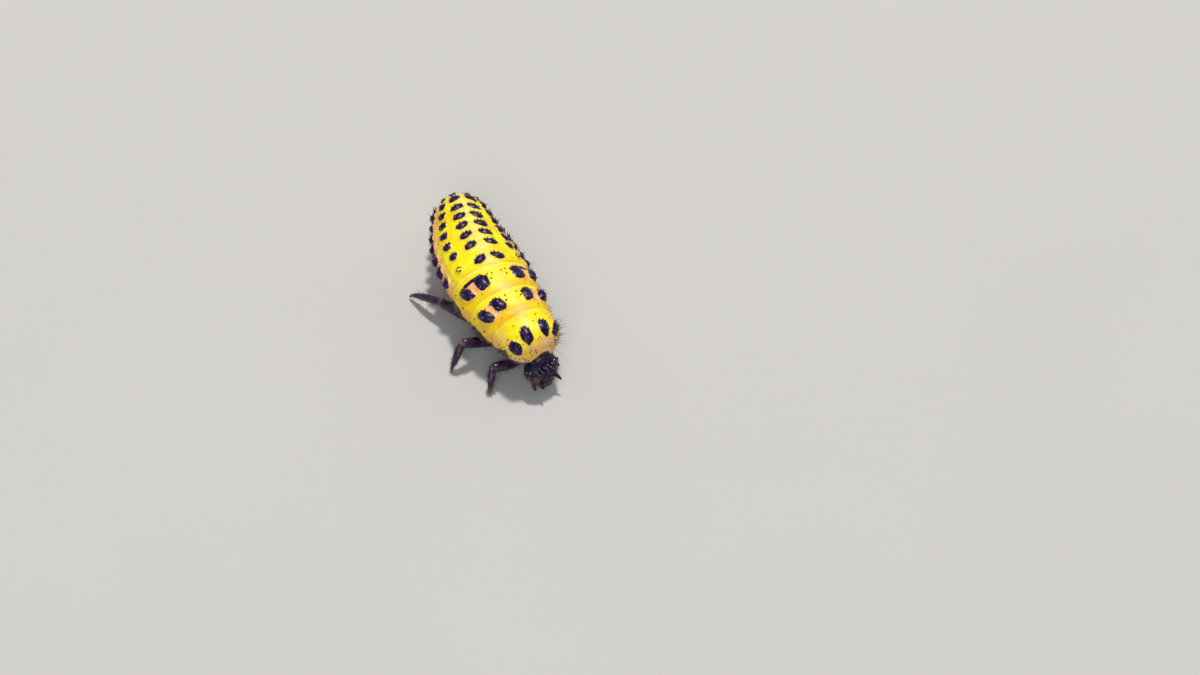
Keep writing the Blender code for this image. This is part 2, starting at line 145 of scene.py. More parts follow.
@dataclass(frozen=True)
class Grain:
    """Smooth random values through space, the same on every run."""

    seed: int = SEED

    def _corner(self, cell: Array) -> Array:
        """The random value, from -1 to 1, at whole-numbered corners of the grid.

        Args:
            cell: Whole coordinates, in the last axis.

        Returns:
            One value for each corner.
        """
        mixed = (cell[..., 0] * 73856093) ^ (cell[..., 1] * 19349663) ^ (cell[..., 2] * 83492791)
        mixed = (mixed ^ (self.seed * 2654435)) & 0x7FFFFFFF
        mixed = ((mixed ^ (mixed >> 13)) * 1274126177) & 0x7FFFFFFF
        mixed = (mixed ^ (mixed >> 16)) & 0xFFFF
        return mixed / 32767.5 - 1.0

    def at(self, points: Array, size: float) -> Array:
        """Random values that change over a given size.

        Args:
            points: Places, in the last axis.
            size: Distance over which the value changes.

        Returns:
            Values from -1 to 1.
        """
        scaled = points / size + 1000.0
        cell = np.floor(scaled).astype(np.int64)
        part = scaled - cell
        part = part * part * (3 - 2 * part)
        total = np.zeros(points.shape[:-1])
        for corner in np.ndindex(2, 2, 2):
            weight = np.ones(points.shape[:-1])
            for k in range(3):
                weight *= part[..., k] if corner[k] else 1 - part[..., k]
            total += weight * self._corner(cell + np.array(corner))
        return total


# ---- meshes

def link(name: str, data: bpy.types.ID) -> Piece:
    """Puts a new object into the scene.

    Args:
        name: Its name.
        data: What it shows.

    Returns:
        The object.
    """
    made = bpy.data.objects.new(name, data)
    bpy.context.scene.collection.objects.link(made)
    return made


def store(mesh: bpy.types.Mesh, name: str, values: Array) -> None:
    """Stores a weight for each point of a mesh."""
    weight = mesh.attributes.new(name, "FLOAT", "POINT")
    weight.data.foreach_set("value", values.astype(np.float32))


def loop_points(mesh: bpy.types.Mesh) -> Array:
    """Finds the point that stands at each corner of a mesh's faces.

    Args:
        mesh: The mesh.

    Returns:
        The points' numbers, face by face.
    """
    index = np.empty(len(mesh.loops), np.int32)
    mesh.loops.foreach_get("vertex_index", index)
    return index


@dataclass
class MeshDraft:
    """Points and faces gathered for one piece, with the weights and bake places of its points."""

    points: list[Array] = field(default_factory=list)
    faces: list[Array] = field(default_factory=list)
    tips: list[Array] = field(default_factory=list)
    places: list[Array] = field(default_factory=list)
    count: int = 0

    def add(self, points: Array, faces: Array, tips: Array | float = 0.0,
            places: Array | None = None) -> None:
        """Adds a patch of points and faces.

        Args:
            points: Places of the new points, one row each.
            faces: Corners of the new faces, counted from this patch's first point; -1 fills a triangle.
            tips: A weight for each new point, such as how near a bristle's tip it is.
            places: Where each new point lies on the bake map.
        """
        self.points.append(points)
        self.faces.append(np.where(faces < 0, -1, faces + self.count))
        self.tips.append(np.broadcast_to(np.asarray(tips, float), (len(points),)))
        self.places.append(np.zeros((len(points), 2)) if places is None else places)
        self.count += len(points)

    def piece(self, name: str, material: Material) -> Piece:
        """Writes the draft as an object.

        Args:
            name: The object's name.
            material: The finish of all its faces.

        Returns:
            The new object, in metres.
        """
        corners = [[int(c) for c in face if c >= 0] for rows in self.faces for face in rows]
        mesh = bpy.data.meshes.new(name)
        mesh.from_pydata((np.concatenate(self.points) * MM).tolist(), [], corners)
        mesh.update()
        mesh.shade_smooth()
        store(mesh, "tip", np.concatenate(self.tips))
        places = np.concatenate(self.places)[loop_points(mesh)]
        mesh.uv_layers.new(name=BAKE_MAP).uv.foreach_set("vector", places.astype(np.float32).ravel())
        mesh.materials.append(material)
        return link(name, mesh)


def grid_faces(rows: int, columns: int) -> Array:
    """Faces of a sleeve of points, closed all round.

    Args:
        rows: Rings of points.
        columns: Points in each ring.

    Returns:
        Four corners for each face.
    """
    i, j = np.meshgrid(np.arange(rows - 1), np.arange(columns), indexing="ij")
    k = (j + 1) % columns
    return np.stack([i * columns + j, i * columns + k, (i + 1) * columns + k, (i + 1) * columns + j],
                    axis=-1).reshape(-1, 4)


def fan_faces(start: int, columns: int, pole: int, turned: bool) -> Array:
    """Triangles that close a ring to a point.

    Args:
        start: First point of the ring.
        columns: Points in the ring.
        pole: The point that they meet at.
        turned: Whether the triangles run the other way round.

    Returns:
        Three corners for each face, and -1 for the fourth.
    """
    j = np.arange(columns)
    k = (j + 1) % columns
    ring = (start + k, start + j) if turned else (start + j, start + k)
    return np.stack([*ring, np.full(columns, pole), np.full(columns, -1)], axis=-1)


def closed_faces(rows: int, columns: int) -> Array:
    """Faces of a sleeve of points, closed at both ends to the two points that follow its rings."""
    last = rows * columns
    return np.concatenate([grid_faces(rows, columns), fan_faces(0, columns, last, True),
                           fan_faces(last - columns, columns, last + 1, False)])


def square_to(ways: Array) -> tuple[Array, Array]:
    """Two directions square to each given one and to each other."""
    first = unit(np.cross(ways, np.where(np.abs(ways[..., 2:]) < STEEP, UP, ACROSS)))
    return first, np.cross(ways, first)


def ring(first: Array, second: Array, count: int, squash: float = 1.0) -> Array:
    """Directions round a circle that two directions span, evenly spaced from the first one on."""
    turn = np.linspace(0, 2 * math.pi, count, endpoint=False)[:, None]
    return np.cos(turn) * first[..., None, :] * squash + np.sin(turn) * second[..., None, :]


def bow(start: Array, middle: Array, end: Array, share: Array) -> Array:
    """Points of a curve that leaves its start towards a middle point and bends over to its end."""
    return (1 - share) ** 2 * start + 2 * share * (1 - share) * middle + share ** 2 * end


def spine_frames(spine: Array, hint: Array) -> tuple[Array, Array]:
    """Two directions across a bent line at each of its points.

    Args:
        spine: Points of the line.
        hint: A direction that the first one stays close to.

    Returns:
        The direction nearest the hint, and the one square to it, at each point.
    """
    run = unit(np.gradient(spine, axis=0))
    first = unit(hint - run * (run @ hint)[:, None])
    return first, np.cross(run, first)


def add_sleeve(draft: MeshDraft, spine: Array, radii: Array, sides: int,
               hint: Array, squash: float = 1.0) -> None:
    """Adds a closed sleeve along a line; squash is its thickness towards the hint, against its radius."""
    rings = spine[:, None] + radii[:, None, None] * ring(*spine_frames(spine, hint), sides, squash)
    draft.add(np.concatenate([rings.reshape(-1, 3), spine[:1], spine[-1:]]), closed_faces(len(spine), sides))


def ball(share: Array, least: float = NEVER_SHUT, power: int = 2) -> Array:
    """A ball's radius at places from -1 to 1 along its axis; a higher power makes it blunter."""
    return np.sqrt(np.clip(1 - np.abs(share) ** power, least, 1))


def rounded_ends(share: Array, start: float, end: float) -> Array:
    """Factor that rounds a sleeve off over a share of its length at either end."""
    return ball(1 - np.clip(share / start, 0, 1)) * ball(1 - np.clip((1 - share) / end, 0, 1))


@dataclass
class BristleCoat:
    """Bristles and the small domes that they stand on, gathered for joined meshes."""

    seed: int = SEED
    stations: int = 5
    sides: int = 4
    taper: float = 0.8
    levels: tuple[float, ...] = (-50.0, -12.0, 18.0, 45.0, 70.0)
    rows: list[tuple[Any, ...]] = field(default_factory=list)
    domes: MeshDraft = field(default_factory=MeshDraft)

    def __post_init__(self) -> None:
        """Starts the coat's own run of random draws."""
        self.draw = np.random.default_rng(self.seed)

    def bristle(self, root: Array, way: Array, length: float, width: float,
                place: tuple[float, float], bend: float = 0.18) -> None:
        """Adds one bristle; place is its root's on the bake map, bend its tip's lean against its length."""
        self.rows.append((root, unit(way), self.draw.normal(size=3) * bend * length, length, width, place))

    def dome(self, at: Array, out: Array, radius: float, height: float,
             place: tuple[float, float], sides: int = 10) -> None:
        """Adds a small dome, such as the raised base of a bristle.

        Args:
            at: Its middle on the skin.
            out: The way that it stands up.
            radius: Its radius.
            height: Its height.
            place: Its place on the bake map.
            sides: Points round it.
        """
        out = unit(out)
        around = ring(*square_to(out), sides)
        points = [at + math.cos(level) * radius * around + math.sin(level) * height * out
                  for level in np.radians(self.levels)]
        merged = np.concatenate([*points, at[None] - out * height, at[None] + out * height])
        spread = np.array(place) + (merged - at)[:, :2] / radius * PATCH / 2
        self.domes.add(merged, closed_faces(len(self.levels), sides), 0.0, np.clip(spread, 0, 1))

    def bristle_draft(self) -> MeshDraft:
        """Makes all bristles into thin bent cones.

        Returns:
            One draft with all of them.
        """
        draft = MeshDraft()
        roots, ways, bends, lengths, widths, places = (np.array(values) for values in zip(*self.rows))
        share = np.linspace(0, 1, self.stations)[:-1]
        middle = (roots[:, None] + ways[:, None] * lengths[:, None, None] * share[None, :, None]
                  + bends[:, None] * (share ** 2)[None, :, None])
        radius = widths[:, None] * (1 - self.taper * share)[None, :]
        rings = middle[:, :, None] + radius[:, :, None, None] * ring(*square_to(ways), self.sides)[:, None]
        tips = (roots + ways * lengths[:, None] + bends)[:, None]
        each = np.concatenate([rings.reshape(len(roots), -1, 3), tips], axis=1)
        levels, total = len(share), each.shape[1]
        pattern = np.concatenate([
            grid_faces(levels, self.sides), fan_faces(total - 1 - self.sides, self.sides, total - 1, False),
            np.arange(self.sides)[::-1][None]])
        faces = np.concatenate([np.where(pattern < 0, -1, pattern + total * i) for i in range(len(roots))])
        tone = np.append(np.repeat(share, self.sides), 1.0)
        across = np.append(np.tile(np.arange(self.sides) / self.sides - 0.5, levels), 0.0)
        local = np.stack([across, tone - 0.5], axis=-1) * PATCH
        spots = np.clip(places[:, None] + local[None], 0, 1)
        draft.add(each.reshape(-1, 3), faces, np.tile(tone, len(roots)), spots.reshape(-1, 2))
        return draft


# ---- materials

class Value:
    """A socket of a node tree; Python's operators on it add Math nodes."""

    def __init__(self, sheet: "NodeSheet", socket: bpy.types.NodeSocket) -> None:
        """Wraps a socket of a sheet."""
        self.sheet = sheet
        self.socket = socket

    def _math(self, operation: str, first: "Value | float", second: "Value | float") -> "Value":
        """Adds one Math node on two numbers."""
        return self.sheet.node("ShaderNodeMath", {"operation": operation}, {0: first, 1: second})

    def __add__(self, other: "Value | float") -> "Value":
        """Sum."""
        return self._math("ADD", self, other)

    __radd__ = __add__

    def __sub__(self, other: "Value | float") -> "Value":
        """Difference."""
        return self._math("SUBTRACT", self, other)

    def __rsub__(self, other: "Value | float") -> "Value":
        """Difference from a number."""
        return self._math("SUBTRACT", other, self)

    def __mul__(self, other: "Value | float") -> "Value":
        """Product."""
        return self._math("MULTIPLY", self, other)

    __rmul__ = __mul__

    def over(self, low: float, high: float) -> "Value":
        """A soft step from 0 at low to 1 at high."""
        return self.sheet.node("ShaderNodeMapRange", {"interpolation_type": "SMOOTHSTEP"},
                               {0: self, 1: low, 2: high, 3: 0.0, 4: 1.0})


class NodeSheet:
    """The node tree of one material."""

    def __init__(self, name: str) -> None:
        """Starts a material with its Principled shader.

        Args:
            name: The material's name.
        """
        self.material = bpy.data.materials.new(name)
        self.material.use_nodes = True
        self.tree = self.material.node_tree
        self.shader = self.tree.nodes["Principled BSDF"]

    def feed(self, socket: bpy.types.NodeSocket, value: Any) -> None:
        """Sets a socket to a value, or links another socket to it.

        Args:
            socket: The socket that is fed.
            value: A number, a colour or a Value.
        """
        if isinstance(value, Value):
            self.tree.links.new(value.socket, socket)
        else:
            socket.default_value = value

    def node(self, kind: str, settings: dict[str, Any] | None = None,
             inputs: dict[int | str, Any] | None = None, output: int | str = 0) -> Value:
        """Adds a node.

        Args:
            kind: The node's type.
            settings: Its settings, which are made first.
            inputs: Values or links for its sockets.
            output: Which of its outputs is wanted.

        Returns:
            That output.
        """
        made = self.tree.nodes.new(kind)
        for name, value in (settings or {}).items():
            setattr(made, name, value)
        for key, value in (inputs or {}).items():
            self.feed(made.inputs[key], value)
        return Value(self, made.outputs[output])

    def mix(self, share: Value | float, first: Value | Colour, second: Value | Colour,
            blend: str = "MIX") -> Value:
        """Lays a share of the second colour over the first."""
        pair = [value if isinstance(value, Value) else (*value, 1.0) for value in (first, second)]
        return self.node("ShaderNodeMix", {"data_type": "RGBA", "blend_type": blend},
                         {0: share, 6: pair[0], 7: pair[1]}, 2)

    def weight(self, name: str) -> Value:
        """A weight stored on the mesh."""
        return self.node("ShaderNodeAttribute", {"attribute_name": name}, {}, "Fac")

    def grain(self, size: float, detail: float = 3.0, roughness: float = 0.55) -> Value:
        """Noise, about 0.5 on average, that changes over a size in millimetres."""
        spot = self.node("ShaderNodeTexCoord", {}, {}, "Object")
        return self.node("ShaderNodeTexNoise", {}, {"Vector": spot, "Scale": 1 / (size * MM),
                                                    "Detail": detail, "Roughness": roughness}, "Fac")

    def pebbles(self, size: float) -> Value:
        """Distance to the middle of the nearest pebble, for pebbles of a size in millimetres."""
        spot = self.node("ShaderNodeTexCoord", {}, {}, "Object")
        return self.node("ShaderNodeTexVoronoi", {"feature": "F1"},
                         {"Vector": spot, "Scale": 1 / (size * MM)}, "Distance")

    def relief(self, height: Value, depth: float, strength: float) -> None:
        """Turns a height into bump on the shader, its depth in millimetres."""
        bump = self.node("ShaderNodeBump", {}, {"Height": height, "Distance": depth * MM,
                                                "Strength": strength}, "Normal")
        self.feed(self.shader.inputs["Normal"], bump)

    def dress(self, **sockets: Any) -> Material:
        """Sets the shader's sockets.

        Args:
            **sockets: Their values or links, under their names with _ for a blank.

        Returns:
            The finished material.
        """
        for name, value in sockets.items():
            self.feed(self.shader.inputs[name.replace("_", " ")], value)
        return self.material


@dataclass(frozen=True)
class SkinFinish:
    """Soft satin skin: lemon yellow, cream along the back, peach at the flanks, black spots, with painted
    shade in creases and under the body and painted highlights on ridges and the pronotum's rim.
    """

    lemon: Colour = (0.97, 0.78, 0.003)
    sunny: Colour = (0.98, 0.92, 0.012)
    # deep golden yellow: random tone, and partly painted shade on the thorax
    amber: Colour = (0.93, 0.50, 0.004)
    cream: Colour = (0.97, 0.79, 0.20)
    peach: Colour = (0.90, 0.44, 0.085)
    blush: Colour = (0.91, 0.55, 0.26)
    # dark orange: painted shade in the creases and grooves
    fold: Colour = (0.72, 0.26, 0.008)
    # pale yellow: painted highlight on the ridges in front of the thorax's seams
    pale: Colour = (0.98, 0.88, 0.30)
    # dusky brown: painted shade under the belly
    belly: Colour = (0.34, 0.20, 0.07)
    # near black: the pleural tubercles' own colour, and painted shade under the thorax and behind the head
    dusk: Colour = (0.030, 0.010, 0.030)
    # pinkish white: painted highlight on the pronotum's rim and lip and on wrinkles, partly the margin's own
    # pale colour
    rim: Colour = (0.92, 0.62, 0.56)
    black: Colour = (0.008, 0.001, 0.030)
    plum: Colour = (0.030, 0.003, 0.070)
    speckle: Colour = (0.80, 0.74, 0.66)
    ragged: float = 0.010

    def material(self) -> Material:
        """Builds the skin's material.

        Returns:
            The material.
        """
        sheet = NodeSheet("larva_skin")
        broad, mottle, fine = sheet.grain(0.55, 2.0), sheet.grain(0.16, 4.0), sheet.grain(0.045, 3.0)
        spots, cream, peach, fold, pale, belly, rim, amber, dusk = (sheet.weight(tone.value)
                                                                    for tone in SkinTone)
        uneven = (mottle - 0.5) * 0.5
        tint = sheet.mix(broad.over(0.53, 0.80) * 0.8, self.lemon, self.amber)
        tint = sheet.mix((0.58 - broad) * 3.0 + uneven, tint, self.sunny)
        # golden tone on the thorax, partly painted shade on its flanks and segment fronts
        tint = sheet.mix((amber + uneven * 0.6).over(0.1, 1.0) * 0.85, tint, self.amber)
        tint = sheet.mix(cream * 0.9 + uneven * cream, tint, self.cream)
        flank = sheet.mix(mottle.over(0.40, 0.62), self.peach, self.blush)
        tint = sheet.mix((peach + uneven * 0.5).over(0.15, 0.9), tint, flank)
        # painted highlight on the thorax's ridges
        tint = sheet.mix((pale + uneven * 0.5).over(0.1, 0.95) * 0.8, tint, self.pale)
        # painted shade in the creases and grooves
        tint = sheet.mix((fold * (0.72 + mottle * 0.5)).over(0.12, 1.05), tint, self.fold)
        # painted shade under the belly
        tint = sheet.mix(belly, tint, self.belly)
        # pleural tubercles, and painted shade under the thorax and behind the head
        tint = sheet.mix((dusk + uneven * 0.5).over(0.25, 0.7) * 0.92, tint, self.dusk)
        # painted highlight on the rim, lip and wrinkles
        tint = sheet.mix(rim * 0.9, tint, self.rim)
        speckle = sheet.mix(fine.over(0.3, 0.6), self.speckle, (1.0, 1.0, 1.0))
        tint = sheet.mix(0.35, tint, speckle, "MULTIPLY")
        edge = spots + (fine - 0.5) * (self.ragged * 2)
        spot = edge.over(-0.004, 0.004)
        halo = edge.over(-0.045, 0.0) * 0.5
        ink = sheet.mix(mottle.over(0.42, 0.66), self.black, self.plum)
        tint = sheet.mix(halo * mottle, tint, self.peach)
        sheet.relief(sheet.pebbles(0.020) * 0.6 + fine * 0.9, 0.008, 0.34)
        return sheet.dress(Base_Color=sheet.mix(spot, tint, ink),
                           Roughness=0.42 + (mottle - 0.5) * 0.25 - spot * 0.12,
                           Coat_Weight=0.03, Coat_Roughness=0.10, Specular_IOR_Level=0.27,
                           Subsurface_Weight=0.12, Subsurface_Radius=(1.0, 0.60, 0.12),
                           Subsurface_Scale=0.10 * MM)


@dataclass(frozen=True)
class ShellFinish:
    """Glossy dark shell with fine pebbling and a thinner, browner look in places."""

    name: str
    dark: Colour = (0.014, 0.004, 0.022)
    warm: Colour = (0.070, 0.022, 0.075)
    roughness: float = 0.26
    coat: float = 0.12
    pebble: float = 0.018
    depth: float = 0.004
    gloss: float = 0.40
    clear: Colour = (0.20, 0.095, 0.070)

    def material(self) -> Material:
        """Builds the shell's material.

        Returns:
            The material.
        """
        sheet = NodeSheet(self.name)
        mottle, fine = sheet.grain(0.12, 4.0), sheet.grain(0.03, 3.0)
        colour = sheet.mix(mottle.over(0.38, 0.68), self.dark, self.warm)
        colour = sheet.mix(sheet.weight("tip") * (0.4 + mottle), colour, self.clear)
        rough = self.roughness + (mottle - 0.5) * 0.22 + (fine - 0.5) * 0.12
        sheet.relief(sheet.pebbles(self.pebble) + fine * 0.6, self.depth, 0.45)
        return sheet.dress(Base_Color=colour, Roughness=rough, Coat_Weight=self.coat,
                           Coat_Roughness=0.12, Coat_IOR=1.8, Specular_IOR_Level=self.gloss)


@dataclass(frozen=True)
class BristleFinish:
    """Stiff bristles, dark at the root and paler and clearer towards the tip."""

    name: str = "bristle"
    root: Colour = (0.014, 0.005, 0.022)
    tip: Colour = (0.16, 0.09, 0.10)

    def material(self) -> Material:
        """Builds the bristles' material.

        Returns:
            The material.
        """
        sheet = NodeSheet(self.name)
        mottle = sheet.grain(0.20, 2.0)
        share = (sheet.weight("tip") * (0.5 + mottle)).over(0.25, 1.1)
        return sheet.dress(Base_Color=sheet.mix(share, self.root, self.tip),
                           Roughness=0.24 + mottle * 0.14, Coat_Weight=0.2, Coat_Roughness=0.1)


@dataclass(frozen=True)
class LensFinish:
    """Clear gloss black lens of a simple eye, faintly mottled with brown."""

    black: Colour = (0.004, 0.004, 0.006)
    brown: Colour = (0.045, 0.020, 0.014)

    def material(self) -> Material:
        """Builds the lens's material.

        Returns:
            The material.
        """
        sheet = NodeSheet("eye_lens")
        mottle = sheet.grain(0.05, 2.0)
        return sheet.dress(Base_Color=sheet.mix(mottle.over(0.4, 0.8), self.black, self.brown),
                           Roughness=0.05 + mottle * 0.05, Coat_Weight=1.0, Coat_Roughness=0.03)


@dataclass(frozen=True)
class FloorFinish:
    """Plain pale card with a barely seen tooth."""

    colour: Colour = (0.56, 0.55, 0.535)
    shade: Colour = (0.53, 0.52, 0.51)

    def material(self) -> Material:
        """Builds the floor's material.

        Returns:
            The material.
        """
        sheet = NodeSheet("floor_card")
        mottle, fine = sheet.grain(9.0, 3.0), sheet.grain(0.25, 3.0)
        sheet.relief(fine, 0.01, 0.2)
        return sheet.dress(Base_Color=sheet.mix(mottle, self.colour, self.shade),
                           Roughness=0.75 + (fine - 0.5) * 0.1)


# ---- the trunk's plan

ABDOMEN_SEGMENTS = 9        # segments are counted from the tail: these first, then the thorax
SHIELD_SEGMENT = 11
ROLLS = {"pronotum": -2.5, "mesothorax": -1.2}
ABDOMEN_ROLL = 1.5          # degrees that the other rows roll to the left
FLANK_FROM = 75.0           # degrees from the back's top at which the rows no longer roll


@dataclass
class BodyPlan:
    """The trunk's axis and sections, as the solids have them."""

    names: tuple[str, ...] = (
        "abdomen_9", "abdomen_8", "abdomen_7", "abdomen_6", "abdomen_5", "abdomen_4", "abdomen_3",
        "abdomen_2", "abdomen_1", "metathorax", "mesothorax", "pronotum")
    lengths: tuple[float, ...] = (
        0.300, 0.310, 0.330, 0.335, 0.305, 0.330, 0.345, 0.375, 0.490, 0.785, 0.740, 0.920)
    widths: tuple[float, ...] = (
        0.38, 0.49, 0.595, 0.69, 0.775, 0.845, 0.895, 0.93, 0.96, 0.965, 0.885, 0.715)
    backs: tuple[float, ...] = (
        0.38, 0.50, 0.57, 0.60, 0.62, 0.63, 0.65, 0.675, 0.685, 0.665, 0.63, 0.545)
    bellies: tuple[float, ...] = (
        0.33, 0.41, 0.45, 0.47, 0.48, 0.49, 0.50, 0.50, 0.50, 0.49, 0.47, 0.42)
    heights: tuple[float, ...] = (
        0.615, 0.760, 0.850, 0.895, 0.917, 0.927, 0.940, 0.955, 0.970, 0.972, 0.960, 0.910)
    tail_yaw: float = -7.0
    bend: float = 28.0
    bend_start: float = 1.0
    bend_span: float = 4.5
    bend_power: float = 0.8
    nose_drop: float = 0.09
    belly_square: float = 0.74
    shield_square: float = 1.15
    shield_blend: float = 0.30
    crease_abdomen: float = 0.040
    crease_thorax: float = 0.075
    softness: float = 0.46
    front_from: float = 0.37
    front_square: float = 2.5
    tail_close: float = 0.70
    tail_round: float = 0.05
    pad_at: float = 0.20
    row_share: float = 0.5
    pronotum_row: float = 0.658

    def __post_init__(self) -> None:
        """Works out where segments begin, the axis's line, and where the solids stand."""
        self.starts = np.concatenate([[0.0], np.cumsum(self.lengths)])
        self.total = float(self.starts[-1])
        self.middles = (self.starts[:-1] + self.starts[1:]) / 2
        self.steps = np.linspace(0.0, self.total, 1201)
        yaw = self.heading((self.steps[1:] + self.steps[:-1]) / 2)
        stride = np.diff(self.steps)[:, None]
        run = np.cumsum(np.stack([np.sin(yaw), -np.cos(yaw)], axis=-1) * stride, axis=0)
        self.line = np.concatenate([[[0.0, 0.0]], run])
        pad = next(mount for mount in frame["record"]["mounts"] if mount["name"] == "tail_pad_foot")
        foot = np.array(pad["pos_m"]) / MM
        self.origin = np.array([*(foot[:2] - self.axis(np.array(self.pad_at))), 0.0])

    def heading(self, along: Array) -> Array:
        """Yaw of the axis, from -Y towards +X, at a distance from the tail tip."""
        share = np.maximum(0.0, (along - self.bend_start) / self.bend_span)
        return np.radians(self.tail_yaw + self.bend * share ** self.bend_power)

    def axis(self, along: Array) -> Array:
        """The axis on the floor plan, at a distance from the tail tip."""
        return np.stack([np.interp(along, self.steps, self.line[:, k]) for k in range(2)], axis=-1)

    def segment(self, along: Array) -> Array:
        """Which segment lies at a distance from the tail tip."""
        return np.clip(np.searchsorted(self.starts, along, "right") - 1, 0, len(self.names) - 1)

    def _column(self, values: Sequence[float], along: Array) -> Array:
        """A size drawn smoothly through the segments' middles.

        Args:
            values: The size at each middle.
            along: Distances from the tail tip.

        Returns:
            The size at each distance.
        """
        knots, sizes, last = self.middles, np.array(values), len(self.middles) - 1
        place = np.clip(along, knots[0], knots[-1])
        i = np.clip(np.searchsorted(knots, place, "right") - 1, 0, last - 1)
        before, after = np.maximum(np.arange(last + 1) - 1, 0), np.minimum(np.arange(last + 1) + 1, last)
        slopes = (sizes[after] - sizes[before]) / (knots[after] - knots[before])
        span = knots[i + 1] - knots[i]
        u = (place - knots[i]) / span
        return (sizes[i] * (1 + 2 * u) * (1 - u) ** 2 + span * slopes[i] * u * (1 - u) ** 2
                + sizes[i + 1] * (3 - 2 * u) * u ** 2 + span * slopes[i + 1] * u ** 2 * (u - 1))

    def section(self, along: Array) -> tuple[Array, ...]:
        """The trunk's plain cross-section.

        Args:
            along: Distances from the tail tip.

        Returns:
            Half-width, back, belly and axis height at each distance.
        """
        wide, back, belly, height = (self._column(rows, along) for rows in
                                     (self.widths, self.backs, self.bellies, self.heights))
        index = self.segment(along)
        share = (along - self.starts[index]) / np.array(self.lengths)[index]
        between = (self.crease_abdomen + self.crease_thorax) / 2
        ends = np.array([self.crease_abdomen] * ABDOMEN_SEGMENTS + [between] + [self.crease_thorax] * 3)
        depth = np.where(share < 0.5, ends[index], ends[index + 1])
        pinch = self.softness * depth * np.abs(2 * share - 1) ** 3
        front = index == SHIELD_SEGMENT
        pinch = np.where(front & (share > 0.5), 0.0, pinch)
        reach = np.clip((share - self.front_from) / (1 - self.front_from), 0, 1) * front
        factor = (1 - reach ** self.front_square) ** (1 / self.front_square)
        height = height - self.nose_drop * reach ** 2
        rear = np.where(index == 0, 1 - share, 0.0)
        factor = factor * (1 - self.tail_close * (1 - np.sqrt(np.clip(1 - rear ** 2, 0, 1))))
        tip = np.clip(along / self.tail_round, 0, 1)
        factor = factor * np.sqrt(np.clip(1 - (1 - tip) ** 2, 0, 1))
        pinch = pinch * np.sqrt(tip)
        return wide * factor - pinch, back * factor - pinch, belly * factor - pinch / 2, height

    def place(self, along: Array, angle: Array) -> Array:
        """Points of the trunk's plain outline.

        Args:
            along: Distances from the tail tip.
            angle: Angles from the top of the back, towards the left.

        Returns:
            The points, in the last axis.
        """
        along, angle = np.broadcast_arrays(np.asarray(along, float), np.asarray(angle, float))
        wide, back, belly, height = self.section(along)
        side, lift = np.sin(angle), np.cos(angle)
        low = lift < 0
        under = np.clip((along - self.starts[-2]) / self.lengths[-1] / self.shield_blend, 0, 1)
        square = np.where(low, self.belly_square + (self.shield_square - self.belly_square) * under, 1.0)
        across = wide * np.sign(side) * np.abs(side) ** square
        up = np.where(low, -belly, back) * np.abs(lift) ** square
        yaw, middle = self.heading(along), self.axis(along)
        return self.origin + np.stack([middle[..., 0] + np.cos(yaw) * across,
                                       middle[..., 1] + np.sin(yaw) * across, height + up], axis=-1)

    def arc(self, along: float, turn: float) -> float:
        """Distance round the trunk for each radian, at a place on it."""
        wide, back = (self._column(rows, np.array(along)) for rows in (self.widths, self.backs))
        return math.hypot(wide * math.cos(turn), back * math.sin(turn))

    def row_along(self, name: str) -> float:
        """Finds where a segment's row of tubercles stands along the back.

        Args:
            name: The segment's name.

        Returns:
            The distance from the tail tip.
        """
        i = self.names.index(name)
        row = self.pronotum_row if i == SHIELD_SEGMENT else self.row_share
        return self.starts[i] + self.lengths[i] * row

    def beside(self, name: str, forward: float, sideways: float, height: float) -> Array:
        """A point given from the axis, at a segment's row of tubercles.

        Args:
            name: The segment.
            forward: How far forward of the row.
            sideways: How far to the left of the axis.
            height: How far up from the floor.

        Returns:
            The point.
        """
        along = np.array(self.row_along(name))
        yaw = self.heading(along)
        flat = (self.axis(along) + forward * np.array([np.sin(yaw), -np.cos(yaw)])
                + sideways * np.array([np.cos(yaw), np.sin(yaw)]))
        return np.array([*(flat + self.origin[:2]), height])


def turn_at(segment: str, side: Side, angle: float) -> float:
    """Radians to the left of the back's top for degrees to either side, with the body's slight roll."""
    roll = ROLLS.get(segment, ABDOMEN_ROLL) if angle < FLANK_FROM else 0.0
    return math.radians(angle * side.value + roll)


@dataclass(frozen=True)
class Tubercle:
    """One raised spot of the skin: its place, its half-axes and height, its marking and its bristles."""

    segment: str
    side: Side
    angle: float
    wide: float
    long: float
    high: float
    marking: Marking
    bristles: int
    reach: float
    shift: float = 0.0
    lean: float = 0.0
    slant: float = 0.0

    @property
    def turn(self) -> float:
        """Its angle in radians, towards the left."""
        return turn_at(self.segment, self.side, self.angle)


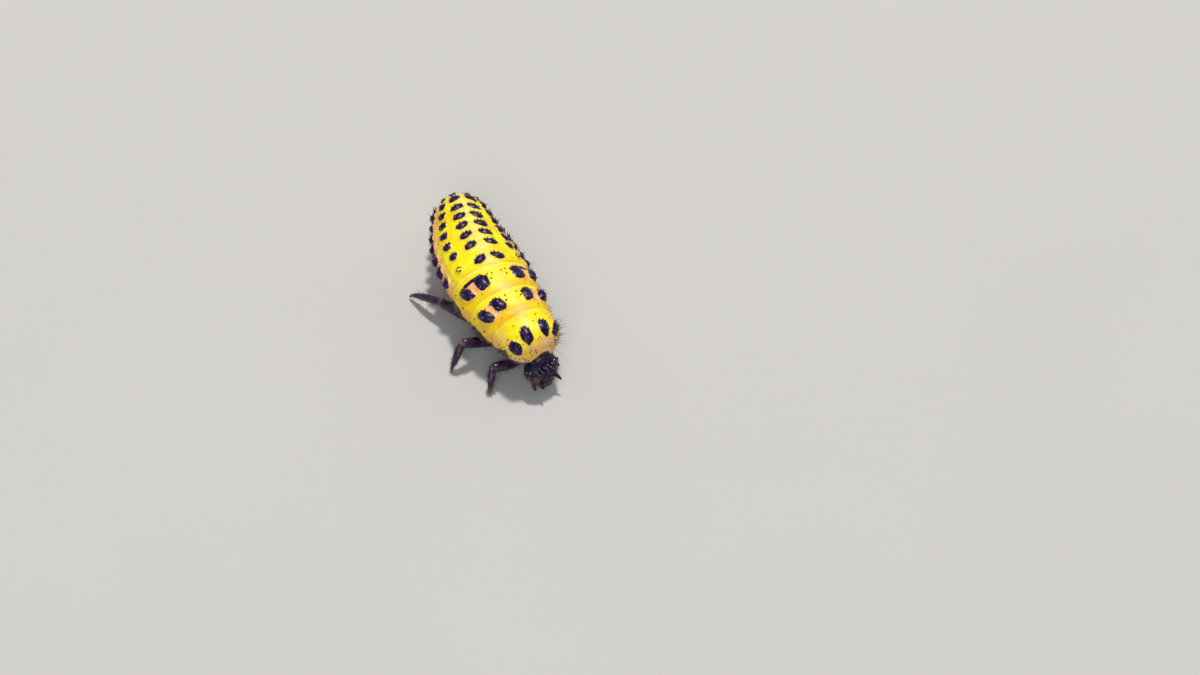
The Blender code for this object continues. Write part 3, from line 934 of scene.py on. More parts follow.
def abdomen_row(name: str, side: Side) -> list[Tubercle]:
    """The three tubercles of one side of a segment of the abdomen.

    Args:
        name: The segment.
        side: The side of the larva.

    Returns:
        The dorsal, the dorsolateral and the lateral one.
    """
    first, last = name == "abdomen_1", name in ("abdomen_7", "abdomen_8")
    size = 0.72 if name == "abdomen_8" else 1.0
    flank = size * {"abdomen_2": 1.08, "abdomen_3": 1.08, "abdomen_5": 0.85, "abdomen_6": 0.8}.get(name, 0.92)
    back = (13.0 if first else 15.4) + {"abdomen_6": 1.5, "abdomen_7": 4.0, "abdomen_8": 5.0}.get(name, 0.0)
    shift = 0.04 if first else -0.07 if last else -0.03
    between = {"abdomen_1": 47.0, "abdomen_2": 46.5}.get(name, 50.0)
    return [
        Tubercle(name, side, back, 0.160 * size * (0.9 if last else 1), 0.116 * size * (1.4 if last else 1),
                 0.050 * size, Marking.ABDOMEN, 8, 0.045, shift, 0.0, 0.32),
        Tubercle(name, side, between, 0.112 * size, 0.104 * size, 0.055 * size,
                 Marking.RINGED if first else Marking.FLANK, 6, 0.055, 0.04 if first else 0.06),
        Tubercle(name, side, 81.0 if first else 86.5, 0.124 * flank, 0.130 * flank, 0.098 * flank,
                 Marking.FLANK, 8, 0.095, 0.03 if first else 0.07)]


def thorax_rows(side: Side) -> list[Tubercle]:
    """The tubercles and plates of one side of the thorax.

    Args:
        side: The side of the larva; the outer knobs of the left one stand prouder.

    Returns:
        The inner one, the outer one and the plate of each segment, from the hind one on.
    """
    yaw, knob = -0.16 * side.value, 0.04 if side is Side.LEFT else 0.0
    rows = (
        ("metathorax", 28.0, 0.168, 0.214, 0.055, Marking.INNER, 11, 0.050, 0.015, 0.0),
        ("metathorax", 57.0, 0.140, 0.196, 0.085 + 0.6 * knob, Marking.OUTER, 10, 0.075, 0.04, -0.22),
        ("metathorax", 101.0, 0.170, 0.230, 0.050, Marking.PLEURA, 20, 0.11, -0.06, 0.0),
        ("mesothorax", 25.0, 0.144, 0.200, 0.055, Marking.INNER, 10, 0.050, -0.03, -0.15),
        ("mesothorax", 54.0, 0.142, 0.210, 0.090 + knob, Marking.OUTER, 10, 0.075, 0.01, -0.24),
        ("mesothorax", 102.0, 0.165, 0.230, 0.050, Marking.PLEURA, 20, 0.11, 0.0, 0.0),
        ("pronotum", 20.6, 0.140, 0.212, 0.042, Marking.SHIELD, 9, 0.042, -0.04, yaw),
        ("pronotum", 57.0, 0.140, 0.178 + 0.8 * knob, 0.060 + 0.3 * knob, Marking.SHIELD, 10, 0.085, 0.005,
         yaw - 0.15),
        ("pronotum", 104.0, 0.150, 0.240, 0.040, Marking.PLEURA, 16, 0.10, -0.16, 0.0))
    return [Tubercle(name, side, *sizes) for name, *sizes in rows]


def all_tubercles() -> list[Tubercle]:
    """The tubercles of the whole trunk, row by row."""
    rows = [abdomen_row(name, side) for name in BodyPlan.names[1:ABDOMEN_SEGMENTS] for side in Side]
    return sum(rows + [thorax_rows(side) for side in Side], [])


# ---- the trunk's skin

# Bearing, size and width of the corners that a spot's outline has, by its marking
CORNERS = {
    Marking.ABDOMEN: ((-2.7, 0.10, 0.30),),
    Marking.FLANK: ((-2.3, 0.30, 0.40),),
    Marking.INNER: ((-2.64, 0.20, 0.25), (-0.75, 0.16, 0.30), (-1.7, 0.05, 0.4)),
    Marking.OUTER: ((2.35, 0.10, 0.35), (-1.35, 0.16, 0.30), (-2.5, -0.16, 0.35)),
    Marking.SHIELD: ((-2.0, 0.20, 0.24), (1.2, 0.16, 0.30), (-0.4, 0.08, 0.3))}
TEETH = {Marking.ABDOMEN: 0.15, Marking.FLANK: 0.12}


@dataclass(frozen=True)
class Band:
    """A band along the body: its angle from the back's top, its width in degrees, and its strength."""

    degrees: float
    width: float
    strength: float

    def at(self, degrees: Array) -> Array:
        """The band's strength at angles from the back's top."""
        return self.strength * hump(degrees - self.degrees, self.width)


@dataclass(frozen=True)
class PairBand:
    """A dark band behind a pair of spots of the thorax, and the peach patch that it hems."""

    segment: str
    end_width: float
    middle_width: float
    angle: float = 42.0
    wide: float = 0.33
    long: float = 0.23
    shift: float = 0.01
    behind: float = 0.176
    bow: float = 0.50
    reach: float = 0.20
    rag: float = 0.006


@dataclass
class TrunkSkin:
    """One skin over thorax, abdomen and anal pad, with its folds, tubercles and markings."""

    plan: BodyPlan
    tubercles: list[Tubercle]
    row_step: float = 0.0125
    columns: int = 400
    top_density: float = 2.0
    tail_rows: int = 34
    nose_rows: int = 66
    window: float = 0.55
    corner_draw: float = 0.17
    seam_wander: float = 0.012
    furrow: float = 0.022
    furrow_width: float = 0.024
    ridge: float = 0.016
    swelling: Band = Band(82, 11, 0.020)
    side_groove: Band = Band(67, 3.2, -0.016)
    lower_groove: Band = Band(98, 4.5, -0.020)
    back_groove: Band = Band(0, 4.5, -0.006)
    shield_ridge: Band = Band(88, 4.5, 0.014)
    shield_groove: Band = Band(101, 6.0, -0.030)
    # Bands of painted shade: in the side and lower grooves, on the thorax's flanks and on the pronotum's
    # front
    side_line: Band = Band(67, 3.0, 0.45)
    lower_line: Band = Band(98, 4.0, 0.6)
    thorax_line: Band = Band(84, 14, 0.30)
    shield_line: Band = Band(70, 16, 0.4)
    # painted highlight along the pronotum's side margins
    rim_line: Band = Band(89, 3.2, 1.0)
    wrinkle: float = 0.0045
    pair_bands: tuple[PairBand, ...] = (
        PairBand("metathorax", 0.056, 0.046), PairBand("mesothorax", 0.044, -0.012))
    no_spot: float = -0.2
    pad_inner: float = 0.165
    pad_outer: float = 0.275
    pad_rounds: int = 14
    floor_gap: float = 0.001
    margin: float = 0.02

    def __post_init__(self) -> None:
        """Lays out the grid of the skin and shapes it."""
        self.grain = Grain()
        self.angle = self._angles()
        self.along = self._rows()
        self.degrees = np.degrees(np.abs(self.angle))[None]
        segment = self.plan.segment(self.along)[:, None]
        self.is_abdomen, self.is_shield = segment < ABDOMEN_SEGMENTS, segment == SHIELD_SEGMENT
        self.is_thorax = ~self.is_abdomen
        self.share = (self.along[:, None] - self.plan.starts[segment]) / np.array(self.plan.lengths)[segment]
        self.points = self.plan.place(self.along[:, None], self.angle[None])
        self.tones = {tone: np.zeros(self.points.shape[:2]) for tone in SkinTone}
        self.tones[SkinTone.SPOT][:] = self.no_spot
        self._turn_corner()
        self._outward()
        self._fold()
        self._outward()
        for tubercle in self.tubercles:
            self._raise(tubercle)
        self._pair_bands()
        self._paint()
        self._stand_pad()
        self._outward()

    def _angles(self) -> Array:
        """Angles of the columns, closer together over the back than under the belly.

        Returns:
            The angles, from the belly round by the right and the back to the left.
        """
        fine = np.linspace(-math.pi, math.pi, 4001)
        middle = np.full(fine.shape, self.plan.middles[6])
        step = np.linalg.norm(np.diff(self.plan.place(middle, fine), axis=0), axis=-1)
        dense = 1 + (self.top_density - 1) * (1 - smooth(1.7, 2.1, np.abs(fine[1:] + fine[:-1]) / 2))
        reach = np.concatenate([[0.0], np.cumsum(step * dense)])
        return np.interp(np.arange(self.columns) / self.columns * reach[-1], reach, fine)

    def _rows(self) -> Array:
        """Distances of the rings from the tail tip, closer together where the ends round off.

        Returns:
            The distances.
        """
        plan, quarter = self.plan, math.pi / 2
        tail = plan.lengths[0] * (1 - np.cos(np.linspace(0.06, quarter, self.tail_rows)))
        begins = plan.starts[-2] + plan.front_from * plan.lengths[-1]
        nose = begins + (plan.total - begins) * np.sin(np.linspace(0, quarter - 0.02, self.nose_rows))
        count = round((begins - tail[-1]) / self.row_step)
        return np.concatenate([tail, np.linspace(tail[-1], begins, count)[1:-1], nose])

    def _outward(self) -> None:
        """Works out the skin's outward directions from its points."""
        down = np.gradient(self.points, axis=0)
        wrapped = np.concatenate([self.points[:, -1:], self.points, self.points[:, :1]], axis=1)
        across = (wrapped[:, 2:] - wrapped[:, :-2]) / 2
        self.normals = unit(np.cross(across, down))
        middle = self.points.mean(axis=1, keepdims=True)
        row = len(self.along) // 2
        if np.sum((self.points - middle)[row] * self.normals[row]) < 0:
            self.normals = -self.normals

    def _from_seam(self) -> tuple[Array, Array]:
        """Distance of each point from the nearest seam between segments, which wanders a little.

        Returns:
            The distance, positive in front of the seam, and the seam's number.
        """
        seams = self.plan.starts[1:-1]
        along = np.broadcast_to(self.along[:, None], self.points.shape[:2])
        spot = np.stack(np.broadcast_arrays(along * 0.4, np.cos(self.angle), np.sin(self.angle)), axis=-1)
        along = along + self.seam_wander * self.grain.at(spot, 0.35)
        nearest = np.abs(along[..., None] - seams).argmin(axis=-1)
        return along - seams[nearest], nearest

    def _turn_corner(self) -> None:
        """Draws in the pronotum's front corner on the left, where the head pushes it round."""
        share = (self.along - self.plan.starts[-2]) / self.plan.lengths[-1]
        drawn = self.corner_draw * smooth(0.45, 0.95, share)[:, None] * smooth(0.1, 0.9, self.angle)[None]
        drawn = drawn * (1 - smooth(2.2, 2.9, self.angle)[None])
        line = self.plan.axis(self.along)[:, None] + self.plan.origin[:2]
        self.points[..., :2] -= (self.points[..., :2] - line) * drawn[..., None]

    def _fold(self) -> None:
        """Shapes creases, ridges, side furrows and wrinkles."""
        off, seam = self._from_seam()
        waist = ABDOMEN_SEGMENTS - 1
        self.seam_off, self.thorax = off, seam >= waist
        degrees, swell = self.degrees, np.sin(math.pi * self.share) ** 0.7
        above, partly = 1 - smooth(100, 130, degrees), 0.5 + 0.5 * swell
        depth = np.where(self.thorax, 0.50, 0.20) * self.furrow
        move = -depth * hump(off, self.furrow_width) * (0.35 + 0.65 * above)
        ridge = self.ridge * np.where(seam == waist, 0.15, 0.4)
        move += ridge * hump(off - 0.070, 0.05) * self.thorax * above
        move += 0.003 * hump(np.abs(off) - 0.07, 0.03) * ~self.thorax * above
        move += self.swelling.at(degrees) * swell
        move += self.side_groove.at(degrees) * partly * self.is_abdomen
        move += self.lower_groove.at(degrees) * partly * ~self.is_shield
        move += self.back_groove.at(degrees) * self.is_abdomen
        edge = self.is_shield * smooth(0.35, 0.8, self.share)
        move += edge * (self.shield_ridge.at(degrees) + self.shield_groove.at(degrees))
        stretched = self.points * np.array([0.35, 1.0, 0.35])
        wrinkle = self.grain.at(stretched, 0.035) + 0.5 * self.grain.at(stretched + 7, 0.018)
        move += self.wrinkle * wrinkle * (0.25 + hump(off, 0.10))
        move += 0.007 * self.grain.at(self.points, 0.22) + 0.003 * self.grain.at(self.points, 0.07)
        faded = smooth(0.02, 0.15, self.along) * smooth(0.0, 0.03, self.plan.total - self.along)
        self.points = self.points + self.normals * (move * faded[:, None])[..., None]

    def _window(self, segment: str, shift: float, turn: float) -> tuple[slice, Array, float]:
        """The part of the skin round a place.

        Args:
            segment: The segment that it lies in.
            shift: How far forward of the segment's row it lies.
            turn: Its angle from the back's top.

        Returns:
            The rings and the columns near it, and its distance from the tail tip.
        """
        along = self.plan.row_along(segment) + shift
        rows = np.nonzero(np.abs(self.along - along) < self.window)[0]
        columns = np.nonzero(np.abs(self.angle - turn) < 2 * self.window)[0]
        return slice(rows[0], rows[-1] + 1), columns, along

    def local(self, along: float, turn: float) -> tuple[Array, Array, Array, Array]:
        """A place on the skin.

        Args:
            along: Its distance from the tail tip.
            turn: Its angle from the back's top.

        Returns:
            The point, and the ways to the left, forward and out.
        """
        row = min(int(np.abs(self.along - along).argmin()), len(self.along) - 4)
        column = int(np.abs(self.angle - turn).argmin())
        out = self.normals[row, column]
        ahead = self.points[row + 3, column] - self.points[row - 3, column]
        ahead = unit(ahead - out * (ahead @ out))
        return self.points[row, column], np.cross(out, ahead), ahead, out

    def _raise(self, tubercle: Tubercle) -> None:
        """Raises one tubercle and stores its outline.

        Args:
            tubercle: The tubercle.
        """
        rows, columns, along = self._window(tubercle.segment, tubercle.shift, tubercle.turn)
        at, left, ahead, out = self.local(along, tubercle.turn)
        here = self.points[rows][:, columns]
        outwards, forwards = (here - at) @ left * tubercle.side.value, (here - at) @ ahead
        a = (outwards - tubercle.lean * forwards) / tubercle.wide
        b = (forwards - tubercle.slant * outwards) / tubercle.long
        square = 2.5 if tubercle.marking in (Marking.INNER, Marking.OUTER) else 2.1
        reach = (np.abs(a) ** square + np.abs(b) ** square) ** (1 / square)
        edge = self._outline(tubercle, np.arctan2(b, a)) - reach
        lift = tubercle.high * (1 - np.minimum(1.0, reach / 1.3) ** 2) ** 1.5 * 1.15
        move = lift * (1 + 0.05 * tubercle.high * self.grain.at(here, 0.05))
        self.points[rows.start:rows.stop, columns] += out * move[..., None] * 0.4 \
            + self.normals[rows][:, columns] * move[..., None] * 0.6
        if tubercle.marking is Marking.RINGED:
            self._lay(SkinTone.PEACH, rows, columns, 0.3 * hump(reach, 0.9))
        elif tubercle.marking is Marking.PLEURA:
            self._lay(SkinTone.DUSK, rows, columns, smooth(-0.35, 0.15, edge))
        else:
            edge = np.clip(edge * min(tubercle.wide, tubercle.long), self.no_spot, -self.no_spot)
            self._lay(SkinTone.SPOT, rows, columns, edge)
            self._lay(SkinTone.PEACH, rows, columns, 0.45 * hump(np.maximum(0, reach - 0.9), 0.35))

    def _lay(self, tone: SkinTone, rows: slice, columns: Array, values: Array) -> None:
        """Lays the greater of old and new weights of a tone over some rings and columns."""
        stored = self.tones[tone]
        stored[rows.start:rows.stop, columns] = np.maximum(stored[rows.start:rows.stop, columns], values)

    def _outline(self, tubercle: Tubercle, bearing: Array) -> Array:
        """How far a spot reaches each way, against its plain ellipse.

        Args:
            tubercle: The tubercle that wears the spot.
            bearing: The way from its middle: 0 is outwards, a quarter turn is forward.

        Returns:
            The reach, about 1.
        """
        phase = (BodyPlan.names.index(tubercle.segment) * 1.7 + tubercle.side.value * 0.9
                 + tubercle.angle * 0.11)
        rear = smooth(0.1, 0.8, -np.sin(bearing))
        wavy = 0.045 * np.sin(3 * bearing + phase) + 0.03 * np.sin(5 * bearing + 2.3 * phase)
        teeth = np.abs(np.sin(4.5 * bearing + phase)) - 0.6
        shape = sum((size * hump(np.angle(np.exp(1j * (bearing - way))), width)
                     for way, size, width in CORNERS.get(tubercle.marking, ())), np.zeros_like(bearing))
        return (0.95 + wavy + shape + rear * TEETH.get(tubercle.marking, 0.07) * teeth
                + 0.02 * np.sin(11 * bearing + phase))

    def _pair_bands(self) -> None:
        """Joins the spots of the hind thorax behind, nearly those of the middle one, with peach between."""
        for band in self.pair_bands:
            for side in Side:
                turn = turn_at(band.segment, side, band.angle)
                rows, columns, along = self._window(band.segment, band.shift, turn)
                at, left, ahead, _ = self.local(along, turn)
                here = self.points[rows][:, columns]
                a, b = (here - at) @ left * side.value, (here - at) @ ahead
                reach = np.sqrt((a / band.wide) ** 2 + (b / band.long) ** 2)
                outer = np.clip(np.abs(a - 0.02) / 0.13, 0, 1) ** 2
                width = band.middle_width + (band.end_width - band.middle_width) * outer
                width = width * (1 - smooth(0.16, 0.26, np.abs(a)))
                rag = band.rag * np.sin(70 * a + side.value)
                edge = width - np.abs(b + band.behind - band.bow * a ** 2) + rag
                edge = np.minimum(edge, band.reach - np.abs(a - 0.04))
                self._lay(SkinTone.SPOT, rows, columns, np.clip(edge, self.no_spot, -self.no_spot))
                narrow = 1 - smooth(0.10, 0.22, np.abs(a - 0.02 + 0.3 * b))
                patch = 1.15 * (1 - smooth(0.70, 1.0, reach)) * narrow
                halo = 0.50 * (1 - smooth(0.85, 1.30, reach))
                self._lay(SkinTone.PEACH, rows, columns, np.maximum(patch, halo))

    def _paint(self) -> None:
        """Stores the weights of the skin's other tones, broken up by slow random values."""
        wave = self.grain.at(self.points, 0.20)
        self._paint_flesh(wave)
        self._paint_folds(wave)
        self._paint_edges(wave)

    def _paint_flesh(self, wave: Array) -> None:
        """Stores the broad tones: cream along the back, peach at the sides, a golden tone on the thorax that
        is partly painted shade, and painted shade under the belly.

        Args:
            wave: The random values.
        """
        tones, share, degrees, off = self.tones, self.share, self.degrees, self.seam_off
        along = self.along[:, None]
        thorax_cream = np.where(self.is_shield, 0.1, 0.18 + 0.6 * hump(off, 0.12))
        cream = hump(degrees, 9) * np.where(self.is_abdomen, 1 - 0.35 * hump(off - 0.05, 0.08), thorax_cream)
        tones[SkinTone.CREAM] += cream * (1.05 + 0.5 * wave)
        flank = smooth(60, 74, degrees) * (0.85 + 0.4 * wave) * np.where(self.is_abdomen, 1.0, 0.45)
        around = self.is_shield * np.maximum(smooth(0.66, 0.92, share) * 0.8, smooth(38, 60, degrees) * 0.6)
        peach = np.maximum(flank, around * (0.9 + 0.5 * wave)) * smooth(0.08, 0.42, along)
        tones[SkinTone.PEACH] = np.maximum(tones[SkinTone.PEACH], peach)
        # golden tone on the thorax's flanks and segment fronts, partly painted shade
        rich = np.maximum(smooth(0.55, 0.88, share), 0.9 * smooth(50, 72, degrees))
        rich = rich * self.is_thorax * np.where(self.is_shield, 0.45, 1.0)
        tones[SkinTone.AMBER] += rich * (0.8 + 0.4 * wave)
        # painted shade under the belly, fading out at the tail
        tones[SkinTone.BELLY] += smooth(101, 122, degrees) * smooth(0.30, 0.75, along)

    def _paint_folds(self, wave: Array) -> None:
        """Stores painted shade in the folds and grooves, painted highlights on the rises in front of the
        thorax's folds, and pinkish painted highlights on its wrinkles.

        Args:
            wave: The random values.
        """
        degrees, off, ringed = self.degrees, self.seam_off, self.thorax
        # painted shade in the seams and grooves, on the thorax's flanks and on the pronotum's front
        seam = hump(off + 0.01, np.where(ringed, 0.040, 0.024)) * np.where(ringed, 0.50, 0.30)
        folds = (seam, self.side_line.at(degrees) * self.is_abdomen, self.lower_line.at(degrees),
                 self.thorax_line.at(degrees) * self.is_thorax,
                 self.shield_line.at(degrees) * self.is_shield * smooth(0.6, 0.9, self.share))
        self.tones[SkinTone.FOLD] += np.maximum.reduce(np.broadcast_arrays(*folds)) * (0.8 + 0.35 * wave)
        # painted highlight on the ridge in front of each seam of the thorax, with a strength of its own for
        # each seam
        ends = self.plan.starts[ABDOMEN_SEGMENTS:ABDOMEN_SEGMENTS + 2] - 0.2
        lit = np.select([self.along[:, None] < end for end in ends], [0.2, 0.8], 0.45)
        self.tones[SkinTone.PALE] += ringed * lit * hump(off - 0.055, 0.030) * (1 - smooth(55, 85, degrees))
        # pinkish painted highlights on wrinkles by the thorax's seams, along the back
        wrinkles = ringed * self.is_thorax * hump(degrees - 4, 10) * hump(off + 0.035, 0.060)
        creased = self.grain.at(self.points * np.array([0.6, 1.6, 0.6]), 0.045)
        self.tones[SkinTone.RIM] += 0.85 * smooth(0.0, 0.45, creased) * wrinkles

    def _paint_edges(self, wave: Array) -> None:
        """Stores painted shade under the thorax and a painted shadow of the head on the neck, and a painted
        highlight along the pronotum's rim and lip.

        Args:
            wave: The random values.
        """
        tones, share, shield = self.tones, self.share, self.is_shield
        # painted shade under the thorax
        under = smooth(93, 106, self.degrees) * self.is_thorax * 0.8 * (0.8 + 0.4 * wave)
        # painted shadow of the head on the neck behind it
        neck = shield * smooth(0.984, 0.990, share)
        tones[SkinTone.DUSK] = np.maximum(tones[SkinTone.DUSK], np.maximum(under, neck))
        # painted highlight along the pronotum's margin and its front lip
        edge = shield * smooth(0.45, 0.85, share) * self.rim_line.at(self.degrees)
        lip = smooth(0.972, 0.982, share) * smooth(-0.2, 0.3, self.angle) * (1 - smooth(1.2, 1.6, self.angle))
        tones[SkinTone.RIM] += edge + shield * lip * (1 - neck)

    def _stand_pad(self) -> None:
        """Draws the belly under the tail down to the floor as a round fleshy pad."""
        foot = self.plan.axis(np.array(self.plan.pad_at)) + self.plan.origin[:2]
        flat = self.points[..., :2] - foot
        reach = np.linalg.norm(flat, axis=-1)
        lobes = 1 + 0.05 * np.cos(4 * np.arctan2(flat[..., 1], flat[..., 0]))
        drawn = (1 - smooth(self.pad_inner, self.pad_outer, reach / lobes)) * smooth(96, 132, self.degrees)
        drawn *= smooth(0.005, 0.06, self.along)[:, None]
        height = self.points[..., 2]
        self.points[..., 2] = np.maximum(height * (1 - drawn), self.floor_gap)
        near = 1 - smooth(self.pad_outer + 0.05, self.pad_outer + 0.25, reach)
        soft = 0.5 * near * smooth(0.012, 0.10, height)
        for _ in range(self.pad_rounds):
            around = (np.roll(self.points, 1, axis=1) + np.roll(self.points, -1, axis=1)) / 2
            along = self.points.copy()
            along[1:-1] = (self.points[:-2] + self.points[2:]) / 2
            self.points += soft[..., None] * ((around + along) / 2 - self.points)

    def build(self, finish: SkinFinish) -> Piece:
        """Writes the skin as one piece with its weights and its unwrap.

        Args:
            finish: The skin's finish.

        Returns:
            The skin, standing for all the trunk's solids.
        """
        rows, columns = self.points.shape[:2]
        poles = np.stack([self.points[0].mean(axis=0), self.points[-1].mean(axis=0)])
        draft = MeshDraft()
        draft.add(np.concatenate([self.points.reshape(-1, 3), poles]), closed_faces(rows, columns))
        made = draft.piece("trunk_skin", finish.material())
        for tone, values in self.tones.items():
            store(made.data, tone.value, np.append(values.ravel(), [values[0].mean(), values[-1].mean()]))
        self._unwrap(made.data)
        hand_over(made, "body_skin", *self.plan.names, "anal_pad")
        return made

    def bake_place(self, along: Array, turn: Array) -> Array:
        """Place on the unwrap: round the body across the map, tail to head up it, inside a margin."""
        place = np.stack([turn / (2 * math.pi) + 0.5, along / self.plan.total], axis=-1)
        return self.margin + (1 - 2 * self.margin) * place

    def _unwrap(self, mesh: bpy.types.Mesh) -> None:
        """Lays the skin out flat, cut open under the belly.

        Args:
            mesh: The skin's mesh.
        """
        rows, columns = self.points.shape[:2]
        index = loop_points(mesh)
        sizes = np.empty(len(mesh.polygons), np.int64)
        mesh.polygons.foreach_get("loop_total", sizes)
        column = np.where(index < rows * columns, index % columns, -1)
        row = np.clip(index // columns, 0, rows - 1)
        across = np.append(self.angle, self.angle[0] + 2 * math.pi)
        owner = np.repeat(np.arange(len(mesh.polygons)), sizes)
        seam = np.zeros(len(mesh.polygons), bool)
        np.logical_or.at(seam, owner, column == columns - 1)
        column = np.where(seam[owner] & (column == 0), columns, column)
        flat = self.bake_place(self.along[row], np.where(column >= 0, across[column], 0.0))
        mesh.uv_layers[BAKE_MAP].uv.foreach_set("vector", flat.astype(np.float32).ravel())


@dataclass
class TrunkCoat:
    """Bristles, their domes, and the small dots of the trunk."""

    skin: TrunkSkin
    thickness: float = 0.0082
    dome: float = 0.024
    dot_rise: float = 0.5
    dot_hair: float = 0.6
    ring_dots: int = 6
    ring_reach: float = 0.062
    scattered: int = 38
    fringe: int = 17
    inner_dots: dict[str, Points] = field(default_factory=lambda: {
        "metathorax": ((-0.12, 7.0, 1.0), (0.01, 12.0, 1.1), (-0.14, 13.0, 1.0)),
        "mesothorax": ((-0.18, 9.5, 1.0), (-0.04, 12.5, 1.2))})
    outer_dots: Points = ((-0.20, 76.0, 0.9), (0.16, 80.0, 1.1), (0.27, 36.0, 0.6))
    flank_dots: float = 66.5

    def __post_init__(self) -> None:
        """Starts the bristles of the tubercles, and the dots between them with their hairs."""
        self.coat, self.freckles = BristleCoat(SEED + 1), BristleCoat(SEED + 2)

    def build(self, shell: Material, freckle: Material, bristle: Material) -> list[Piece]:
        """Builds the coat.

        Args:
            shell: Finish of the domes.
            freckle: Finish of the small brown dots.
            bristle: Finish of the bristles.

        Returns:
            The domes, the dots, the bristles and the dots' hairs.
        """
        for tubercle in self.skin.tubercles:
            if tubercle.marking is Marking.RINGED:
                self._ring(tubercle)
            else:
                self._on_tubercle(tubercle)
        self._satellites()
        self._on_pronotum()
        self._fringe()
        pieces = [self.coat.domes.piece("trunk_bristle_domes", shell),
                  self.freckles.domes.piece("trunk_freckles", freckle),
                  self.coat.bristle_draft().piece("trunk_bristles", bristle),
                  self.freckles.bristle_draft().piece("trunk_hairs", bristle)]
        for made in pieces:
            hand_over(made, "body_skin")
        return pieces

    def _stand(self, coat: BristleCoat, along: float, turn: float, away: Array, length: float,
               dome: float, rise: float = 0.75, width: float = 1.0) -> None:
        """Stands one bristle on its dome.

        Args:
            coat: The coat that it joins.
            along: Distance from the tail tip.
            turn: Angle from the top of the back.
            away: The way that it leans.
            length: Its length.
            dome: Radius of its dome.
            rise: The dome's height against its radius.
            width: The bristle's thickness against the usual one.
        """
        at, _, _, out = self.skin.local(along, turn)
        place = self.skin.bake_place(along, turn)
        coat.dome(at, out, dome, dome * rise, place)
        coat.bristle(at + out * dome * rise * 0.6, out + away, length, self.thickness * width, place)

    def _on_tubercle(self, tubercle: Tubercle) -> None:
        """Covers one tubercle with bristles: some along its rear edge, the others over it.

        Args:
            tubercle: The tubercle.
        """
        skin, coat, draw = self.skin, self.coat, self.coat.draw
        along = skin.plan.row_along(tubercle.segment) + tubercle.shift
        left, ahead = skin.local(along, tubercle.turn)[1:3]
        arc = skin.plan.arc(along, tubercle.turn)
        rear = max(3, round(tubercle.bristles * 0.5))
        for i in range(max(tubercle.bristles, rear)):
            if i < rear:
                bearing = -math.pi * (0.12 + 0.76 * (i + 0.5 + draw.uniform(-0.2, 0.2)) / rear)
                reach = 0.93
            else:
                bearing, reach = draw.uniform(0, 2 * math.pi), 0.85 * math.sqrt(draw.uniform(0.02, 1.0))
            a, b = math.cos(bearing) * reach * tubercle.wide, math.sin(bearing) * reach * tubercle.long
            outwards, forwards = a + tubercle.lean * b, b + tubercle.slant * a
            turn = tubercle.turn + outwards * tubercle.side.value / arc
            lean = (left * outwards * tubercle.side.value + ahead * forwards) / tubercle.wide * 0.7
            lean += draw.normal(size=3) * 0.12 - ahead * 0.25
            length = tubercle.reach * draw.uniform(0.6, 1.15)
            self._stand(coat, along + forwards, turn, lean, length, self.dome * draw.uniform(0.75, 1.2))

    def _ring(self, tubercle: Tubercle) -> None:
        """Stands a ring of brown dots in place of a spot.

        Args:
            tubercle: The tubercle that would wear the spot.
        """
        along = self.skin.plan.row_along(tubercle.segment) + tubercle.shift
        arc, draw = self.skin.plan.arc(along, tubercle.turn), self.freckles.draw
        for i in range(self.ring_dots):
            bearing = 2 * math.pi * i / self.ring_dots + draw.uniform(-0.25, 0.25)
            reach = self.ring_reach * draw.uniform(0.7, 1.1)
            forward, turn = math.sin(bearing) * reach, tubercle.turn + math.cos(bearing) * reach / arc
            self._stand(self.freckles, along + forward, turn, draw.normal(size=3) * 0.3, 0.05,
                        self.dome * draw.uniform(0.9, 1.2), self.dot_rise, self.dot_hair)

    def _satellites(self) -> None:
        """Stands dots round the spots of the hind and middle thorax, and along the abdomen's flanks."""
        plan, coat, draw = self.skin.plan, self.freckles, self.freckles.draw
        for name, dots in self.inner_dots.items():
            for side in Side:
                for back, degrees, size in (*dots, *self.outer_dots):
                    self._stand(coat, plan.row_along(name) + back, math.radians(degrees) * side.value,
                                draw.normal(size=3) * 0.3, 0.05, self.dome * 0.95 * size,
                                self.dot_rise, self.dot_hair)
        for name in plan.names[2:ABDOMEN_SEGMENTS]:
            for side in Side:
                turn = math.radians(self.flank_dots + draw.uniform(-1, 1)) * side.value
                self._stand(coat, plan.row_along(name) + 0.09, turn, draw.normal(size=3) * 0.3, 0.04,
                            self.dome * 0.55, self.dot_rise, self.dot_hair)

    def _on_pronotum(self) -> None:
        """Scatters brown dots over the pronotum, clear of its spots."""
        plan, draw, count = self.skin.plan, self.freckles.draw, 0
        start, length = plan.starts[-2], plan.lengths[-1]
        while count < self.scattered:
            share, degrees = draw.uniform(0.2, 0.97), draw.uniform(-84, 84)
            off, from_row = abs(degrees - ROLLS["pronotum"]), abs(share - plan.pronotum_row + 0.04)
            inner = abs(off - 21) < 13 and from_row < 0.25
            outer = abs(off - 57) < 16 and from_row < 0.20
            if inner or outer or draw.uniform() > 0.25 + 0.75 * share:
                continue
            self._stand(self.freckles, start + share * length, math.radians(degrees),
                        draw.normal(size=3) * 0.3, draw.uniform(0.03, 0.06),
                        self.dome * draw.uniform(0.45, 0.80), self.dot_rise, 0.5)
            count += 1

